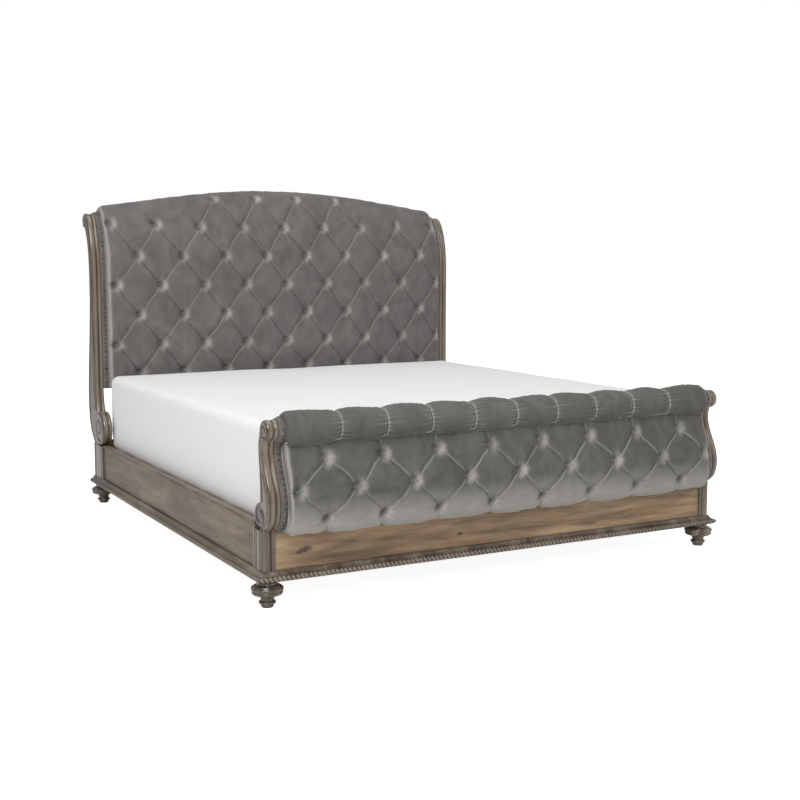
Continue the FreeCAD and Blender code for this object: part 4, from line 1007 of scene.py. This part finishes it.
def head_posts():
    volute = np.array([1.046, 0.381])
    volute_radius = 0.085
    meets = volute + volute_radius * np.array([math.cos(math.radians(68)), math.sin(math.radians(68))])
    skin = HeadSkin(0.0)
    runs = np.linspace(0.06, SWEEP_START - HEAD_BOTTOM + skin.sweep, 300)
    no_lift = POST_INNER
    y, z, _, _ = skin.place(no_lift, runs)
    neck = smooth_line([tuple(meets), (1.094, 0.505), (1.1045, 0.585), (y[0], z[0])])
    front = joined(circle_arc(volute, volute_radius, 270, 68), neck, np.column_stack([y, z]))
    low_turn = math.radians(-100)
    roll_low = HEAD_ROLL + ROLL_RADIUS * np.array([math.cos(low_turn), math.sin(low_turn)])
    back = joined(smooth_line([(1.135, 0.296), (1.205, 0.364), (1.231, 0.445), (1.233, 0.540),
                               (1.199, 0.774), (1.165, 1.000), (1.157, 1.140), (1.163, 1.238),
                               (1.182, 1.317), tuple(roll_low)]),
                  circle_arc(HEAD_ROLL, ROLL_RADIUS, -100, 90))
    volutes = [(volute, 0.082, 2.1, 1, 1.2), (HEAD_ROLL, 0.0365, 1.7, -1, 1.6)]
    for side, label in ((-1, "left"), (1, "right")):
        scroll_post(f"head_post_{label}", front, back, side, volutes, f"head_scroll_{label}")


def foot_posts():
    volute = np.array([-1.064, 0.330])
    volute_radius = 0.050
    front = joined(smooth_line(FOOT_POST_FRONT, 0.003), circle_arc(FOOT_ROLL, ROLL_RADIUS, 275, 90))
    meets = volute + volute_radius * np.array([math.cos(math.radians(95)), math.sin(math.radians(95))])
    rise = smooth_line([tuple(meets), (-1.068, 0.450), (-1.061, 0.530), (-1.058, 0.585),
                        (FOOT_ROLL[0] + ROLL_RADIUS, FOOT_ROLL[1])])
    back = joined(circle_arc(volute, volute_radius, -90, 95), rise,
                  circle_arc(FOOT_ROLL, ROLL_RADIUS, 0, 90))
    volutes = [(volute, 0.049, 1.35, -1, 1.6), (FOOT_ROLL, 0.0365, 1.7, 1, 1.6)]
    for side, label in ((-1, "left"), (1, "right")):
        scroll_post(f"foot_post_{label}", front, back, side, volutes, f"foot_scroll_{label}")


def carved_block(label, side, end):
    """A plinth block: reeds down its outward end, and grooves down its outer face."""
    low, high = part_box(f"{end}_block_{label}")
    front_y, back_y = (low.y, high.y) if end == "foot" else (high.y, low.y)
    inward = 1 if end == "foot" else -1
    u = np.linspace(0, BLOCK_WIDTH, 41)
    depth = np.full_like(u, 0.0055)
    for centre, half in ((0.0165, 0.0155), (0.0425, 0.0085)):
        inside = np.clip(1 - ((u - centre) / half) ** 2, 0, None)
        depth = np.minimum(depth, np.where(inside > 0, 0.0055 * (1 - np.sqrt(inside)), 0.0055))
    outer_x = side * BLOCK_OUTER
    plan = [(outer_x - side * a, front_y + inward * b) for a, b in zip(u, depth)]
    plan += [(outer_x - side * BLOCK_WIDTH, back_y), (outer_x, back_y)]
    reach = abs(back_y - front_y)
    run = np.arange(0.002, reach - 0.008, 0.0012)
    edges = np.minimum(run, reach - run)
    groove = sum(0.0034 * np.exp(-((edges - centre) / 0.0026) ** 2) for centre in (0.015, 0.029))
    plan += [(outer_x - side * cut, back_y - inward * along) for along, cut in zip(run, groove)]
    points, faces = [], []
    levels = np.linspace(low.z, high.z, 5)
    for z in levels:
        points += [(px, py, z) for px, py in plan]
    count = len(plan)
    for level in range(len(levels) - 1):
        for k in range(count):
            after = (k + 1) % count
            faces.append([level * count + k, level * count + after, (level + 1) * count + after,
                          (level + 1) * count + k])
    faces.append(list(range(count)))
    faces.append([(len(levels) - 1) * count + k for k in range(count)])
    glaze_and_painted_shade = list(np.clip((depth - 0.0025) / 0.0018, 0, 1)) + [0.0, 0.0]
    glaze_and_painted_shade += list(np.clip(groove / 0.0022, 0, 1))
    glaze_and_painted_shade = glaze_and_painted_shade * len(levels)
    obj = piece(f"{end}_plinth_{label}", np.array(points), faces, "post_wood", smooth=False,
                attributes={"glaze_and_painted_shade": np.array(glaze_and_painted_shade)})
    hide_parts(f"{end}_block_{label}")


MOULDING_BASE = 0.098
ROPE_PITCH = 0.017


def moulding_section():
    """Side-view outline of the base moulding: how far out, and height. Closed, from its lip round."""
    nose = circle_arc((0.0165, MOULDING_BASE + 0.011), 0.0085, -62, 62, 0.0012)
    cove = smooth_line([(0.0185, MOULDING_BASE + 0.0205), (0.0125, MOULDING_BASE + 0.0225),
                        (0.008, MOULDING_BASE + 0.026), (0.0045, MOULDING_BASE + 0.031),
                        (0.0035, MOULDING_BASE + 0.0345)], 0.0015)
    return np.vstack([[(-0.008, MOULDING_BASE + 0.036), (-0.008, MOULDING_BASE), (0.017, MOULDING_BASE)],
                      nose, cove, [(0.0025, MOULDING_BASE + 0.036)]]), (3, 3 + len(nose))


def base_moulding():
    """The moulding round three sides, mitred at the foot's corners, with a rope bead on its nose."""
    section, (rope_start, rope_end) = moulding_section()
    out, height = section[:, 0], section[:, 1]
    low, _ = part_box("foot_block_left")
    _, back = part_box("head_block_left")
    outer_x, front_y, back_y = BLOCK_OUTER, low.y, back.y
    spacing = ROPE_PITCH / 7
    side_count = int((back_y - front_y) / spacing)
    foot_count = int(2 * outer_x / spacing)
    normal = np.zeros_like(section)
    middle = slice(rope_start, rope_end)
    spread = section[middle] - np.array([0.0165, MOULDING_BASE + 0.011])
    normal[middle] = spread / np.linalg.norm(spread, axis=1)[:, None]
    runs = [("base_moulding_left", side_count), ("base_moulding_foot", foot_count),
            ("base_moulding_right", side_count)]
    for node_name, count in runs:
        share = np.linspace(0, 1, count)[:, None]
        distance = share * ((back_y - front_y) if node_name != "base_moulding_foot" else 2 * outer_x)
        slant = (height - MOULDING_BASE)[None, :] * 0.55
        phase = 2 * math.pi * (distance + slant) / ROPE_PITCH
        swell = np.abs(np.cos(phase / 2)) ** 0.7
        rope = np.zeros((count, len(out)))
        rope[:, middle] = 0.0042 * (swell[:, middle] - 0.75)
        reach = out[None, :] + normal[:, 0][None, :] * rope
        z = height[None, :] + normal[:, 1][None, :] * rope
        if node_name == "base_moulding_foot":
            x = -(outer_x + reach) + 2 * (outer_x + reach) * share
            y = front_y - reach
        else:
            side = -1 if node_name == "base_moulding_left" else 1
            x = side * (outer_x + reach)
            y = back_y + (front_y - reach - back_y) * share
        points = np.stack(np.broadcast_arrays(x, y, z), axis=-1)
        glaze_and_painted_shade = np.zeros((count, len(out)))
        glaze_and_painted_shade[:, middle] = 0.8 * np.clip((0.62 - swell[:, middle]) / 0.4, 0, 1)
        worn = np.zeros((count, len(out)))
        worn[:, middle] = np.clip((swell[:, middle] - 0.75) / 0.20, 0, 1)
        # Painted shadow lines: just above the rope bead and just below it.
        glaze_and_painted_shade[:, rope_end:rope_end + 2] = 0.55
        glaze_and_painted_shade[:, rope_start - 1] = 0.6
        columns = len(out)
        faces = []
        for i in range(count - 1):
            for k in range(columns):
                after = (k + 1) % columns
                faces.append((i * columns + k, i * columns + after, (i + 1) * columns + after,
                              (i + 1) * columns + k))
        faces.append(list(range(columns)))
        faces.append([(count - 1) * columns + k for k in range(columns)])
        obj = piece(node_name.replace("base_moulding", "rope_moulding"), points, faces, "moulding_wood",
                    attributes={"glaze_and_painted_shade": glaze_and_painted_shade, "worn": worn})
        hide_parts(node_name)


# --- mattress and back panels ----------------------------------------------------------------------

def rounded_slab(low, high, radius, spacing):
    """Points and faces of a box with rounded edges, as six grids that meet."""
    low, high = np.array(low), np.array(high)
    points, faces = [], []
    start = 0
    for axis in range(3):
        a, b = [other for other in range(3) if other != axis]
        grid_a = np.linspace(low[a], high[a], int((high[a] - low[a]) / spacing[a]) + 2)
        grid_b = np.linspace(low[b], high[b], int((high[b] - low[b]) / spacing[b]) + 2)
        for end in (low[axis], high[axis]):
            u, v = np.meshgrid(grid_a, grid_b)
            block = np.zeros(u.shape + (3,))
            block[..., a], block[..., b], block[..., axis] = u, v, end
            points.append(block.reshape(-1, 3))
            faces += grid_faces(u.shape[0], u.shape[1], start)
            start += u.size
    points = np.vstack(points)
    core = np.clip(points, low + radius, high - radius)
    away = points - core
    size = np.linalg.norm(away, axis=1)
    away[size > 0] *= (radius / size[size > 0])[:, None]
    return core + away, faces


def mattress():
    low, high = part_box("mattress")
    points, faces = rounded_slab(low, high, 0.034, (0.016, 0.016, 0.010))
    middle = (np.array(low) + np.array(high)) / 2
    half = (np.array(high) - np.array(low)) / 2
    u = (points[:, 0] - middle[0]) / half[0]
    v = (points[:, 1] - middle[1]) / half[1]
    w = (points[:, 2] - middle[2]) / half[2]
    dome = (1 - np.clip(np.abs(u), 0, 1) ** 6) * (1 - np.clip(np.abs(v), 0, 1) ** 6)
    points[:, 2] += np.where(w > 0.6, 0.007 * dome, 0.0)
    belly = 0.004 * (1 - np.clip(np.abs(w), 0, 1) ** 2.5)
    points[:, 0] += belly * np.where(np.abs(u) > 0.98, np.sign(u), 0.0)
    points[:, 1] += belly * np.where(np.abs(v) > 0.98, np.sign(v), 0.0)
    points[:, 2] += np.where(w > 0.9, 0.0012 * ripple(points[:, 0], points[:, 1], 0.5), 0.0)
    obj = piece("mattress_in_cover", points, faces, "white_cover", body="mattress_body")
    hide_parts("mattress")


def back_panels():
    """Cloth-covered back panels, slightly padded and pulled in at their edges."""
    skin = HeadSkin(-0.046)
    x = np.linspace(-POST_INNER, POST_INNER, 260)
    share = np.linspace(0, 1, 170)
    grid_x, grid_s = np.meshgrid(x, share)
    stop = float(np.interp(math.radians(62), skin.turns, skin.runs))
    run = grid_s * (SWEEP_START - HEAD_BOTTOM + camelback(grid_x) + stop)
    y, z, ny, nz = skin.place(grid_x, run)
    inset_x = POST_INNER - np.abs(grid_x)
    length = SWEEP_START - HEAD_BOTTOM + camelback(grid_x) + stop
    inset_s = np.minimum(run, length - run)
    pad = 0.0035 * np.sqrt(np.clip(np.minimum(inset_x, inset_s) / 0.02, 0, 1))
    pucker = 0.0009 * np.cos(2 * math.pi * grid_x / 0.06) * np.exp(-inset_s / 0.025)
    pucker += 0.0009 * np.cos(2 * math.pi * run / 0.06) * np.exp(-inset_x / 0.025)
    off = pad + pucker + 0.0005 * ripple(grid_x, run, 0.2)
    outer = at_place(grid_x, y - ny * off, z - nz * off)
    front_skin = HeadSkin(-0.037)
    stop_front = float(np.interp(math.radians(62), front_skin.turns, front_skin.runs))
    run_front = grid_s * (SWEEP_START - HEAD_BOTTOM + camelback(grid_x) + stop_front)
    fy, fz, _, _ = front_skin.place(grid_x, run_front)
    points, faces, _ = closed_shell(outer, at_place(grid_x, fy, fz), 20)
    obj = piece("headboard_back_cloth", points, faces, "back_fabric")
    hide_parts("headboard_back")

    low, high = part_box("footboard_back")
    z = np.linspace(low.z, high.z, 60)
    grid_x, grid_z = np.meshgrid(x, z)
    inset = np.minimum(POST_INNER - np.abs(grid_x), np.minimum(grid_z - low.z, high.z - grid_z))
    pad = 0.0035 * np.sqrt(np.clip(inset / 0.02, 0, 1))
    pucker = 0.0009 * np.cos(2 * math.pi * grid_x / 0.06) * np.exp(-inset / 0.025)
    outer = np.stack([grid_x, high.y + pad + pucker, grid_z], axis=-1)
    inner = np.stack([grid_x, low.y + 0 * grid_x, grid_z], axis=-1)
    points, faces, _ = closed_shell(outer, inner, 20)
    obj = piece("footboard_back_cloth", points, faces, "back_fabric")
    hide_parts("footboard_back")


# --- the CAD pieces that stay --------------------------------------------------------------------------

FINISHES = [
    ("turned_foot", "foot_wood"),
    ("side_rail", "rail_wood"),
    ("rail_bead", "rail_wood"),
    ("foot_lower_panel", "panel_wood"),
    ("head_cross_rail", "panel_wood"),
    ("slat_ledge", "pine_along"),
    ("slat_screws", "steel"),
    ("slat_", "pine_across"),
    ("centre_beam", "pine_along"),
    ("centre_leg", "pine_upright"),
    ("levelling_glide", "glide_plastic"),
    ("beam_brackets", "steel"),
    ("rail_hook_plates", "steel"),
    ("headboard_nails", "nail_metal"),
    ("footboard_nails", "nail_metal"),
    ("headboard_", "plywood"),
    ("footboard_", "plywood"),
]


def finish_cad_nodes():
    for name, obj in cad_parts.items():
        for start, material in FINISHES:
            if name.startswith(start):
                obj.data.materials.clear()
                obj.data.materials.append(MATERIALS[material])
                break


# --- studio --------------------------------------------------------------------------------------

def studio():
    mesh = bpy.data.meshes.new("studio_floor")
    reach = 30.0
    corners = [(-reach, -reach, 0.0), (reach, -reach, 0.0), (reach, reach, 0.0), (-reach, reach, 0.0)]
    mesh.from_pydata(corners, [], [(0, 1, 2, 3)])
    floor = bpy.data.objects.new("studio_floor", mesh)
    bpy.context.scene.collection.objects.link(floor)
    mesh.materials.append(floor_finish())

    for name, place, size, power in (("key", (-3.4, -4.6, 5.6), 3.6, 330.0),
                                     ("fill", (4.5, -5.0, 2.6), 4.0, 25.0),
                                     ("top", (0.0, 0.0, 6.0), 4.0, 70.0)):
        lamp = bpy.data.lights.new(name, "AREA")
        lamp.size = size
        lamp.energy = power
        obj = bpy.data.objects.new(name, lamp)
        bpy.context.scene.collection.objects.link(obj)
        obj.location = place
        aim = Vector((0.0, -0.2, 0.6)) - Vector(place)
        obj.rotation_euler = aim.to_track_quat("-Z", "Y").to_euler()

    world = bpy.data.worlds.new("studio")
    world.use_nodes = True
    tree = world.node_tree
    light = tree.nodes["Background"]
    light.inputs["Color"].default_value = (1.0, 1.0, 1.0, 1.0)
    light.inputs["Strength"].default_value = 0.40
    seen = tree.nodes.new("ShaderNodeBackground")
    seen.inputs["Color"].default_value = (1.0, 1.0, 1.0, 1.0)
    seen.inputs["Strength"].default_value = 1.0
    rays = tree.nodes.new("ShaderNodeLightPath")
    either = tree.nodes.new("ShaderNodeMixShader")
    tree.links.new(rays.outputs["Is Camera Ray"], either.inputs[0])
    tree.links.new(light.outputs[0], either.inputs[1])
    tree.links.new(seen.outputs[0], either.inputs[2])
    tree.links.new(either.outputs[0], tree.nodes["World Output"].inputs["Surface"])
    bpy.context.scene.world = world
    bpy.context.scene.view_settings.view_transform = "Standard"

    camera = bpy.data.objects.new("camera", bpy.data.cameras.new("camera"))
    bpy.context.scene.collection.objects.link(camera)
    camera.data.lens = 56.69
    camera.data.sensor_width = 36.0
    camera.data.clip_end = 100.0
    camera.location = (-2.678, -5.2024, 1.2653)
    camera.rotation_euler = (math.radians(90 - 6.768), 0.0, math.radians(-28.478))
    bpy.context.scene.camera = camera


headboard_pad()
headboard_borders()
footboard_pad()
footboard_roll()
roll_piping()
footboard_borders()
head_posts()
foot_posts()
for block_label, block_side in (("left", -1), ("right", 1)):
    for block_end in ("head", "foot"):
        carved_block(block_label, block_side, block_end)
base_moulding()
mattress()
back_panels()
finish_cad_nodes()
studio()
